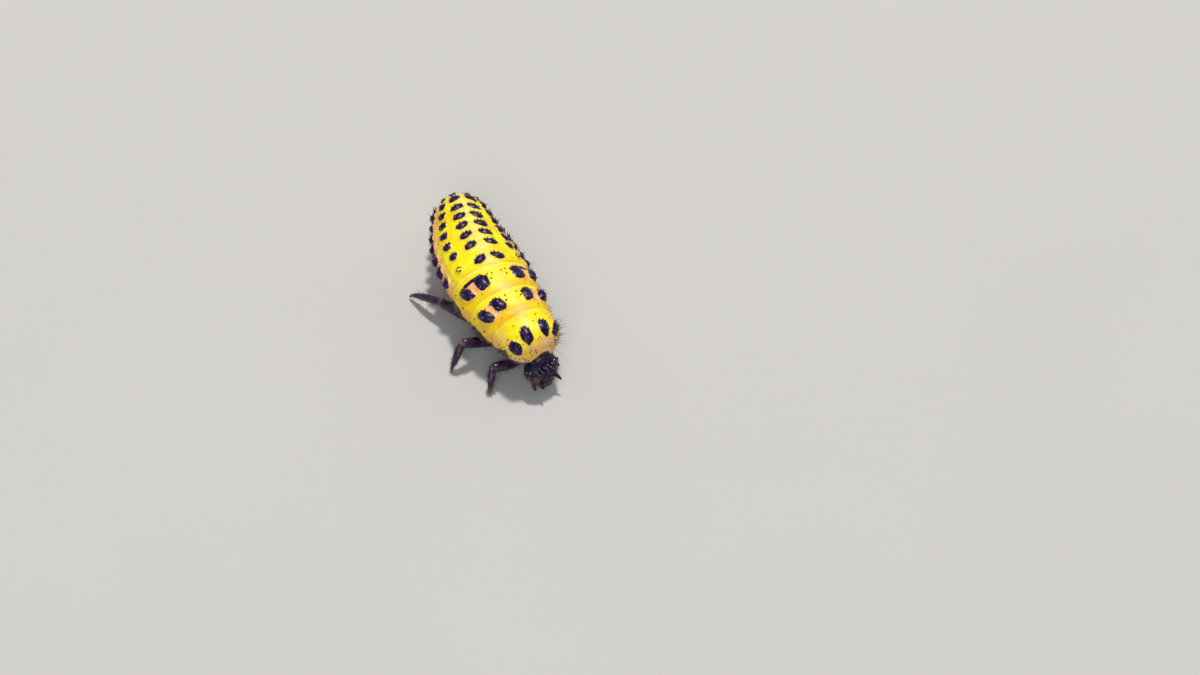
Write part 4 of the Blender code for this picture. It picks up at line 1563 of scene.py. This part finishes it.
    def _fringe(self) -> None:
        """Stands a fringe of long bristles along the pronotum's margin."""
        draw = self.freckles.draw
        start, length = self.skin.plan.starts[-2], self.skin.plan.lengths[-1]
        for side in Side:
            for i in range(self.fringe):
                share = 0.30 + 0.66 * (i + draw.uniform(0.2, 0.8)) / self.fringe
                turn = math.radians(draw.uniform(76, 88)) * side.value
                ahead = self.skin.local(start + share * length, turn)[2]
                lean = ahead * (share - 0.55) * 1.4 + draw.normal(size=3) * 0.15
                self._stand(self.freckles, start + share * length, turn, lean, draw.uniform(0.12, 0.24),
                            self.dome * 0.6, 0.6, 0.65)


# ---- legs

@dataclass
class Leg:
    """One leg: coxa, femur and tibia as glossy sleeves with skin between them, and a hooked claw."""

    plan: BodyPlan
    name: str
    segment: str
    side: Side
    points: Points
    index: int
    sides: int = 20
    coxa_radius: float = 0.150
    femur_radius: float = 0.116
    tibia_radius: float = 0.090
    tip_radius: float = 0.050
    joint_radii: tuple[float, ...] = (0.098, 0.082, 0.046)
    bristles: int = 96
    bristle_radius: float = 0.0064
    sole_hairs: int = 10
    coats: tuple[tuple[float, tuple[float, float], float], ...] = (
        (0.16, (0.06, 0.10), 0.5), (0.36, (0.06, 0.12), 0.7), (0.48, (0.05, 0.10), 0.9))

    def __post_init__(self) -> None:
        """Places the leg's joints."""
        sign = self.side.value
        self.joints = [self.plan.beside(self.segment, ahead, aside * sign, height)
                       for ahead, aside, height in self.points]
        self.coat = BristleCoat(SEED + 10 + self.index)

    def _sleeve(self, draft: MeshDraft, root: Array, tip: Array, radii: Sequence[float],
                bow: float, ends: tuple[float, float], overlap: float) -> tuple[Array, Array]:
        """Adds one length of the leg.

        Args:
            draft: The draft that it goes into.
            root: Its upper joint.
            tip: Its lower joint.
            radii: Its radii, evenly spaced from root to tip.
            bow: How far its middle bows upwards.
            ends: The shares of its length over which the ends are rounded.
            overlap: How far it runs past the joints.

        Returns:
            Its line and the radius along it.
        """
        share = np.linspace(0, 1, 26)
        run = unit(tip - root)
        start, stop = root - run * overlap, tip + run * overlap
        arch = unit(UP - run * run[2]) * bow
        spine = start + (stop - start) * share[:, None] + arch * np.sin(math.pi * share)[:, None]
        size = np.interp(share, np.linspace(0, 1, len(radii)), radii)
        size = np.convolve(np.pad(size, 3, mode="edge"), np.ones(7) / 7, "valid")
        radius = size * rounded_ends(share, *ends)
        add_sleeve(draft, spine, radius, self.sides, arch + UP * 1e-3)
        return spine, radius

    def _cover(self, spine: Array, radius: Array, count: int, part: int,
               length: tuple[float, float], lean: float) -> None:
        """Covers one length of the leg with bristles.

        Args:
            spine: The length's line.
            radius: Its radius along the line.
            count: How many bristles.
            part: Which length of the leg it is.
            length: Shortest and longest bristle.
            lean: How far they lean towards the foot.
        """
        draw = self.coat.draw
        upper, aside = spine_frames(spine, UP)
        run = unit(np.gradient(spine, axis=0))
        for _ in range(count):
            share = draw.uniform(0.06, 0.95)
            i = int(share * (len(spine) - 1))
            turn = draw.uniform(0, 2 * math.pi)
            out = upper[i] * math.cos(turn) + aside[i] * math.sin(turn)
            root = spine[i] + out * radius[i] * 0.97
            place = ((self.index + share) / 6, (part + turn / (2 * math.pi)) / 4)
            self.coat.bristle(root, out + run[i] * lean + draw.normal(size=3) * 0.12,
                              draw.uniform(*length), self.bristle_radius, place, 0.12)
            if draw.uniform() < 0.7:
                self.coat.dome(root, out, draw.uniform(0.012, 0.021), 0.014, place, 8)

    def build(self, finishes: dict[str, Material]) -> list[Piece]:
        """Builds the leg.

        Args:
            finishes: The finish of its shell, joints, claw, domes and bristles.

        Returns:
            Its pieces.
        """
        root, trochanter, knee, ankle, _ = self.joints
        plates, skin = MeshDraft(), MeshDraft()
        hip, top, shin = self.coxa_radius, self.femur_radius, self.tibia_radius
        coxa = self._sleeve(plates, root, trochanter, (hip * 1.05, hip, 0.125), 0.0, (0.3, 0.35), 0.05)
        femur = self._sleeve(plates, trochanter, knee, (top * 0.82, top * 1.02, top * 1.10, top, top * 0.86),
                             0.025, (0.16, 0.14), 0.035)
        tibia = self._sleeve(plates, knee, ankle, (shin * 0.88, shin * 1.06, shin, shin * 0.80,
                                                   self.tip_radius), 0.022, (0.12, 0.10), 0.02)
        for at, size in zip((trochanter, knee, ankle), self.joint_radii):
            line = at + UP * np.linspace(-size, size, 13)[:, None]
            add_sleeve(skin, line, ball(np.linspace(-1, 1, 13), 1e-3) * size, 16, ACROSS)
        for part, (line, (share, *rest)) in enumerate(zip((coxa, femur, tibia), self.coats)):
            self._cover(*line, round(self.bristles * share), part, *rest)
        self._sole()
        drafts = {"shell": plates, "joints": skin, "claw": self._claw(),
                  "domes": self.coat.domes, "bristles": self.coat.bristle_draft()}
        stands_for = {"shell": ("coxa", "femur", "tibia"), "claw": ("claw",)}
        pieces: list[Piece] = []
        for word, draft in drafts.items():
            made = draft.piece(f"leg_{self.name}_{word}", finishes[word])
            hand_over(made, "leg_shell", *(f"{node}_{self.name}" for node in stands_for.get(word, ())))
            pieces.append(made)
        return pieces

    def _claw(self) -> MeshDraft:
        """The single hooked claw, from inside the tibia's tip to the floor.

        Returns:
            The claw.
        """
        ankle, foot = self.joints[-2:]
        share = np.linspace(0, 1, 16)[:, None]
        low = foot + UP * 0.012
        out = unit((foot - ankle) * np.array([1, 1, 0]) + 1e-6)
        bulge = ankle * 0.35 + low * 0.65 + out * 0.055 + UP * 0.035
        spine = bow(ankle, bulge, low, share)
        flat = share[:, 0]
        radius = (0.036 * (1 - flat) ** 0.7 + 0.004) * rounded_ends(flat, 0.1, 0.05)
        draft = MeshDraft()
        add_sleeve(draft, spine, radius, 12, UP)
        return draft

    def _sole(self) -> None:
        """Stands short stout hairs round the claw, with which the larva holds on."""
        ankle, foot = self.joints[-2:]
        draw, run = self.coat.draw, unit(foot - ankle)
        for i in range(self.sole_hairs):
            turn = 2 * math.pi * i / self.sole_hairs
            out = np.array([math.cos(turn), math.sin(turn), 0.0])
            root = ankle + run * 0.02 + out * self.tip_radius * 0.8
            length = min(0.11, max(0.03, (root[2] - 0.01) * 0.9))
            place = ((self.index + 0.98) / 6, (3 + i / self.sole_hairs) / 4)
            way = run + out * 0.25 + draw.normal(size=3) * 0.05
            self.coat.bristle(root, way, length, 0.0055, place, 0.05)


@dataclass
class LegSet:
    """All six legs."""

    plan: BodyPlan
    shapes: dict[str, Points] = field(default_factory=lambda: {
        "hind_right": ((0.04, 0.34, 0.60), (-0.04, 0.58, 0.36), (-0.70, 1.06, 0.50),
                       (-1.42, 1.36, 0.17), (-1.51, 1.41, 0.00)),
        "middle_right": ((0.00, 0.32, 0.60), (-0.04, 0.54, 0.36), (-0.06, 1.28, 0.64),
                         (0.06, 1.56, 0.15), (0.10, 1.61, 0.00)),
        "front_right": ((-0.20, 0.30, 0.70), (-0.22, 0.42, 0.36), (-0.26, 1.00, 0.49),
                        (-0.04, 1.19, 0.15), (0.00, 1.23, 0.00)),
        "hind_left": ((0.04, 0.34, 0.60), (-0.04, 0.58, 0.36), (-0.60, 1.02, 0.56),
                      (-1.12, 1.18, 0.16), (-1.18, 1.21, 0.00)),
        "middle_left": ((0.00, 0.32, 0.60), (-0.04, 0.54, 0.36), (-0.16, 0.98, 0.60),
                        (-0.03, 1.06, 0.15), (-0.01, 1.08, 0.00)),
        "front_left": ((-0.18, 0.30, 0.70), (-0.22, 0.42, 0.36), (-0.40, 0.70, 0.50),
                       (-0.28, 0.66, 0.15), (-0.25, 0.66, 0.00))})
    segments: dict[str, str] = field(default_factory=lambda: {
        "hind": "metathorax", "middle": "mesothorax", "front": "pronotum"})

    def build(self) -> list[Piece]:
        """Builds the legs with their shared finishes.

        Returns:
            Their pieces.
        """
        finishes = {
            "shell": ShellFinish("leg_shell", dark=(0.012, 0.004, 0.020), warm=(0.062, 0.018, 0.075),
                                 coat=0.10, roughness=0.30),
            "domes": ShellFinish("leg_beads", dark=(0.014, 0.006, 0.028), warm=(0.06, 0.02, 0.08),
                                 coat=1.0, roughness=0.20),
            "joints": ShellFinish("leg_joint_skin", dark=(0.05, 0.02, 0.02), warm=(0.22, 0.09, 0.05),
                                  coat=0.05, roughness=0.45),
            "claw": ShellFinish("claw_horn", dark=(0.06, 0.02, 0.012), warm=(0.16, 0.05, 0.02),
                                roughness=0.22),
            "bristles": BristleFinish("leg_bristle")}
        materials = {word: finish.material() for word, finish in finishes.items()}
        pieces: list[Piece] = []
        for index, (name, points) in enumerate(self.shapes.items()):
            pair, word = name.split("_")
            leg = Leg(self.plan, name, self.segments[pair], Side[word.upper()], points, index)
            pieces += leg.build(materials)
        return pieces


# ---- head

@dataclass
class Head:
    """The head: capsule, upper lip, jaws, palps, antennae, simple eyes and bristles."""

    plan: BodyPlan
    forward: float = 0.37
    aside: float = -0.12
    height: float = 0.55
    wide: float = 0.43
    long: float = 0.38
    deep: float = 0.32
    tilt: float = 62.0
    yaw: float = 25.0
    flatness: float = 0.86
    taper: float = 0.12
    eyes: tuple[tuple[str, float, float, float], ...] = (
        ("front", 0.340, 0.03, 0.170), ("top", 0.39, -0.09, 0.11), ("rear", 0.41, 0.02, 0.045))
    eye_radius: float = 0.046
    feeler: Points = (
        (0.20, 0.20, 0.15), (0.225, 0.245, 0.195), (0.245, 0.290, 0.235), (0.262, 0.345, 0.262))
    feeler_radii: tuple[float, ...] = (0.052, 0.044, 0.036, 0.022)
    palp: Points = (
        (0.225, 0.25, -0.095), (0.255, 0.32, -0.100), (0.268, 0.385, -0.098), (0.250, 0.455, -0.092))
    palp_radii: tuple[float, ...] = (0.060, 0.054, 0.046, 0.026)
    limb_gap: float = 0.008
    bristles: int = 120
    beads: int = 17
    bristle_radius: float = 0.0058
    neck: float = -0.75

    def __post_init__(self) -> None:
        """Places the head's own axes: left, towards the mouth, and out of the face."""
        yaw, tilt = math.radians(self.yaw), math.radians(self.tilt)
        ahead = np.array([math.sin(yaw), -math.cos(yaw), 0.0])
        left = np.array([math.cos(yaw), math.sin(yaw), 0.0])
        self.axes = np.stack([left, ahead * math.cos(tilt) - UP * math.sin(tilt),
                              ahead * math.sin(tilt) + UP * math.cos(tilt)])
        base = self.plan.beside("pronotum", 0.0, 0.0, 0.0)
        self.middle = base + ahead * self.forward + left * self.aside + UP * self.height
        self.coat = BristleCoat(SEED + 40)
        self.grain = Grain(SEED + 3)

    def at(self, points: Array) -> Array:
        """Turns points of the head's own axes into the larva's."""
        return self.middle + np.asarray(points, float) @ self.axes

    def surface(self, ways: Array) -> Array:
        """The capsule's surface, in the head's own axes.

        Args:
            ways: Directions from the head's middle, on a ball.

        Returns:
            The points of the capsule that they meet.
        """
        x, y, z = np.moveaxis(ways, -1, 0)
        deep = self.deep * np.where(z > 0, self.flatness, 1.0)
        narrow = 1 - self.taper * np.maximum(0.0, y)
        points = np.stack([x * self.wide * narrow, y * self.long, z * deep], axis=-1)
        face, side, ahead = smooth(0.25, 0.75, z), np.abs(points[..., 0]), points[..., 1]
        stem = hump(points[..., 0], 0.014) * smooth(-0.02, -0.08, ahead)
        arm = hump(side - 0.9 * np.maximum(0.0, ahead + 0.06), 0.014) * smooth(-0.06, -0.02, ahead)
        dent = -0.012 * face * np.maximum(stem, arm * (side < 0.26))
        dent += -0.020 * face * hump(side, 0.13) * hump(ahead - 0.12, 0.10)
        dent += 0.018 * hump(side - 0.34, 0.10) * hump(ahead + 0.01, 0.14)
        dent += -0.018 * hump(ahead - 0.275, 0.018) * (z > -0.3)
        dent += 0.006 * self.grain.at(points, 0.10) + 0.0025 * self.grain.at(points, 0.035)
        return points + unit(points) * dent[..., None]

    def _capsule(self, shell: Material) -> Piece:
        """The capsule with its sutures and cheeks.

        Args:
            shell: Its finish.

        Returns:
            The capsule.
        """
        rows, columns = 96, 128
        level = np.linspace(0.02, math.pi - 0.02, rows)[:, None]
        turn = np.linspace(0, 2 * math.pi, columns, endpoint=False)[None]
        ways = np.stack(np.broadcast_arrays(np.sin(level) * np.cos(turn), np.cos(level),
                                            np.sin(level) * np.sin(turn)), axis=-1)
        local = self.surface(ways).reshape(-1, 3)
        points, side = self.at(local), np.abs(local[:, 0])
        poles = np.stack([points[:columns].mean(axis=0), points[-columns:].mean(axis=0)])
        root = np.stack([side - 0.30, local[:, 1] - 0.14, local[:, 2] - 0.15], axis=-1)
        clear = np.maximum(hump(np.linalg.norm(root, axis=-1), 0.095), 0.7 * smooth(0.27, 0.36, local[:, 1]))
        clear = np.maximum(clear, 0.6 * smooth(0.34, 0.42, side) * smooth(-0.05, 0.15, local[:, 1]))
        draft = MeshDraft()
        draft.add(np.concatenate([points, poles]), closed_faces(rows, columns), np.append(clear, (0.0, 0.7)))
        return draft.piece("head_capsule", shell)

    def _limb(self, points: Sequence[Sequence[float]], radii: Sequence[float], side: Side) -> MeshDraft:
        """A jointed limb of the head, such as a palp.

        Args:
            points: Its joints, in the head's own axes, as on the left.
            radii: Its radius at each joint.
            side: The side that it stands on.

        Returns:
            Its lengths as one draft.
        """
        draft = MeshDraft()
        joints = self.at(np.array(points) * np.array([side.value, 1, 1]))
        share = np.linspace(0, 1, 14)
        for start, stop, wide, thin in zip(joints, joints[1:], radii, radii[1:]):
            gap = unit(stop - start) * self.limb_gap
            line = start - gap + (stop - start + 2 * gap) * share[:, None]
            radius = (wide + (thin - wide) * share) * rounded_ends(share, 0.22, 0.28)
            add_sleeve(draft, line, radius, 16, self.axes[2])
        return draft

    def _mandible(self, side: Side) -> MeshDraft:
        """A curved jaw with a two-pointed tip.

        Args:
            side: The side that it stands on.

        Returns:
            The jaw.
        """
        draft = MeshDraft()
        share = np.linspace(0, 1, 18)[:, None]
        root, knee = np.array([0.15, 0.27, -0.01]), np.array([0.17, 0.42, -0.02])
        for tip, width in (((0.055, 0.465, -0.005), 0.058), ((0.065, 0.455, -0.05), 0.045)):
            curve = bow(root, knee, np.array(tip), share)
            radius = (width * (1 - share[:, 0]) ** 0.55 + 0.006) * rounded_ends(share[:, 0], 0.15, 0.06)
            add_sleeve(draft, self.at(curve * np.array([side.value, 1, 1])), radius, 16, self.axes[2], 0.7)
        return draft

    def _labrum(self) -> MeshDraft:
        """The upper lip: a small plate, notched in front, under a bar across the face.

        Returns:
            The plate and the bar.
        """
        draft, share = MeshDraft(), np.linspace(-1, 1, 33)
        for middle, half, notch in (((0.0, 0.375, 0.085), (0.150, 0.055, 0.050), 0.25),
                                    ((0.0, 0.315, 0.120), (0.185, 0.030, 0.045), 0.0)):
            line = np.array(middle) + np.stack([share * half[0], -notch * 0.06 * hump(share, 0.3),
                                                -0.03 * share ** 2], axis=-1)
            radius = ball(share, power=3) * half[1]
            add_sleeve(draft, self.at(line), radius, 20, self.axes[2], half[2] / half[1])
        return draft

    def _hairs(self) -> None:
        """Stands bristles over the capsule, longest at its sides, and a band of beads across its top."""
        draw = self.coat.draw
        for i in range(self.beads):
            across = -0.72 + 1.5 * (i + draw.uniform(-0.3, 0.3)) / self.beads
            back = -0.30 + 0.30 * (i % 3) / 2 + draw.uniform(-0.06, 0.06)
            self._bristle(unit(np.array([across, back, 0.78])), draw.uniform(0.024, 0.034), 0.05)
        for _ in range(self.bristles):
            way = unit(draw.normal(size=3) * np.array([1.2, 1.0, 0.9]) + np.array([0, 0.1, 0.3]))
            if way[1] >= self.neck:
                dome, length = draw.uniform(0.012, 0.020), draw.uniform(0.04, 0.08)
                self._bristle(way, dome, length * (0.5 + 0.9 * abs(way[0])))

    def _bristle(self, way: Array, dome: float, length: float) -> None:
        """Stands one bristle on its dome.

        Args:
            way: Direction of its root from the head's middle.
            dome: Radius of its dome.
            length: Its length.
        """
        point = self.surface(way[None])[0]
        root, out = self.at(point), unit(point / np.array([self.wide, self.long, self.deep]) ** 2) @ self.axes
        place = (0.5 + 0.48 * math.atan2(way[0], way[2]) / math.pi, 0.5 + 0.48 * way[1])
        self.coat.dome(root, out, dome, dome * 0.85, place)
        lean = self.axes[1] * 0.55 + self.coat.draw.normal(size=3) * 0.15
        self.coat.bristle(root, out + lean, length, self.bristle_radius, place, 0.15)

    def build(self) -> list[Piece]:
        """Builds the head and what stands on it.

        Returns:
            Its pieces.
        """
        shell, beads, brown = (finish.material() for finish in (
            ShellFinish("head_shell", dark=(0.006, 0.002, 0.020), warm=(0.024, 0.007, 0.036), roughness=0.38,
                        coat=0.0, gloss=0.18),
            ShellFinish("head_beads", dark=(0.008, 0.003, 0.026), warm=(0.03, 0.01, 0.05), roughness=0.20,
                        coat=1.0),
            ShellFinish("mouth_shell", dark=(0.020, 0.008, 0.012), warm=(0.13, 0.045, 0.025))))
        lens = LensFinish().material()
        pieces: list[tuple] = [(self._capsule(shell), "head_shell", "head"),
                               (self._labrum().piece("upper_lip", brown), "mouth_shell", "labrum")]
        for side in Side:
            word = side.word
            feeler = self._limb(self.feeler, self.feeler_radii, side)
            palp, jaw = self._limb(self.palp, self.palp_radii, side), self._mandible(side)
            pieces += [(feeler.piece(f"feeler_{word}", shell), "head_shell", f"antenna_{word}"),
                       (palp.piece(f"mouth_palp_{word}", brown), "mouth_shell", f"palp_{word}"),
                       (jaw.piece(f"jaw_{word}", brown), "mouth_shell", f"mandible_{word}")]
            for place, x, y, z in self.eyes:
                eye = self._eye((side.value * x, y, z)).piece(f"lens_{place}_{word}", lens)
                pieces.append((eye, "eye_lens", f"eye_{place}_{word}"))
            tip = self.at(np.array(self.feeler[-1]) * np.array([side.value, 1, 1]))
            way = self.axes[1] + self.axes[2] * 0.8 + self.axes[0] * side.value * 0.2
            self.coat.bristle(tip, way, 0.12, 0.005, (0.5 + 0.1 * side.value, 0.9), 0.05)
        self._hairs()
        bristle = BristleFinish("head_bristle").material()
        pieces += [(self.coat.domes.piece("head_bristle_domes", beads), "head_shell"),
                   (self.coat.bristle_draft().piece("head_bristles", bristle), "head_shell")]
        for made in pieces:
            hand_over(*made)
        return [made for made, *_ in pieces]

    def _eye(self, place: tuple[float, float, float]) -> MeshDraft:
        """One simple eye, a smooth ball sunk in the cheek.

        Args:
            place: Its middle, in the head's own axes.

        Returns:
            The eye.
        """
        draft, share = MeshDraft(), np.linspace(-1, 1, 17)
        line = self.at(np.array(place)) + self.axes[2] * (share * self.eye_radius)[:, None]
        add_sleeve(draft, line, ball(share) * self.eye_radius, 24, self.axes[0])
        return draft


# ---- studio

@dataclass(frozen=True)
class Lamp:
    """A soft box that faces the larva: where it stands, its width, its power in watts and its colour."""

    name: str
    place: tuple[float, float, float]
    size: float
    power: float
    colour: Colour

    def build(self) -> None:
        """Sets up the lamp."""
        lamp = bpy.data.lights.new(self.name, "AREA")
        lamp.energy, lamp.size, lamp.color = self.power, self.size * MM, self.colour
        stand = link(self.name, lamp)
        stand.location = Vector(self.place) * MM
        stand.rotation_euler = (-Vector(self.place)).to_track_quat("-Z", "Y").to_euler()


@dataclass
class Studio:
    """Pale floor, soft lights and the camera."""

    azimuth: float = -20.22
    elevation: float = 45.71
    roll: float = 5.78
    distance: float = 200.0
    right: float = 2.765
    up: float = -0.604
    lens: float = 262.1
    sensor: float = 36.0
    floor_half: float = 400.0
    lamps: tuple[Lamp, ...] = (
        Lamp("key", (26.0, 84.0, 216.0), 26.0, 0.43, (1.0, 0.97, 0.92)),
        Lamp("fill", (-85.0, -175.0, 135.0), 140.0, 0.205, (0.94, 0.97, 1.0)),
        Lamp("rim", (170.0, 60.0, 90.0), 90.0, 0.02, (1.0, 0.98, 0.96)))
    sky: float = 0.26
    sky_colour: Colour = (0.93, 0.95, 1.0)

    def build(self) -> None:
        """Sets the stage, the lights and the camera."""
        self._floor()
        for lamp in self.lamps:
            lamp.build()
        world = bpy.data.worlds.new("soft_room")
        world.use_nodes = True
        ground = world.node_tree.nodes["Background"]
        ground.inputs["Color"].default_value = (*self.sky_colour, 1.0)
        ground.inputs["Strength"].default_value = self.sky
        bpy.context.scene.world = world
        bpy.context.scene.view_settings.view_transform = "Standard"
        self._camera()

    def _floor(self) -> None:
        """A flat pale floor, level with the larva's feet."""
        half = self.floor_half
        draft = MeshDraft()
        corners = np.array([[-half, -half, 0], [half, -half, 0], [half, half, 0], [-half, half, 0]])
        draft.add(corners, np.array([[0, 1, 2, 3]]))
        draft.piece("floor", FloorFinish().material())

    def _camera(self) -> None:
        """A long lens that looks down on the larva from in front and to its right."""
        azimuth, elevation, roll = (math.radians(v) for v in (self.azimuth, self.elevation, self.roll))
        ahead = Vector((-math.sin(azimuth) * math.cos(elevation), math.cos(azimuth) * math.cos(elevation),
                        -math.sin(elevation)))
        level = ahead.cross(Vector(UP)).normalized()
        upright = level.cross(ahead)
        right = level * math.cos(roll) + upright * math.sin(roll)
        top = upright * math.cos(roll) - level * math.sin(roll)
        lens = bpy.data.cameras.new("camera")
        lens.lens, lens.sensor_width = self.lens, self.sensor
        lens.clip_start, lens.clip_end = 0.01, 5.0
        camera = link("camera", lens)
        camera.matrix_world = Matrix((right, top, -ahead)).transposed().to_4x4()
        camera.location = (-ahead * self.distance + right * self.right + top * self.up) * MM
        bpy.context.scene.camera = camera


def main() -> None:
    """Builds the larva's looks, its stage and its camera, and logs each piece's face count."""
    logging.basicConfig(level=logging.INFO, format="%(message)s")
    plan = BodyPlan()
    skin = TrunkSkin(plan, all_tubercles())
    pieces = [skin.build(SkinFinish())]
    spots = ShellFinish("spot_shell", dark=(0.008, 0.002, 0.028), warm=(0.035, 0.006, 0.070),
                        roughness=0.20, coat=0.8).material()
    dots = ShellFinish("freckle_shell", dark=(0.045, 0.012, 0.008), warm=(0.16, 0.050, 0.010),
                       roughness=0.35, coat=0.05).material()
    pieces += TrunkCoat(skin).build(spots, dots, BristleFinish().material())
    pieces += LegSet(plan).build()
    pieces += Head(plan).build()
    for made in pieces:
        log.info("%s: %d faces", made.name, len(made.data.polygons))
    Studio().build()


if __name__ == "__main__":
    main()
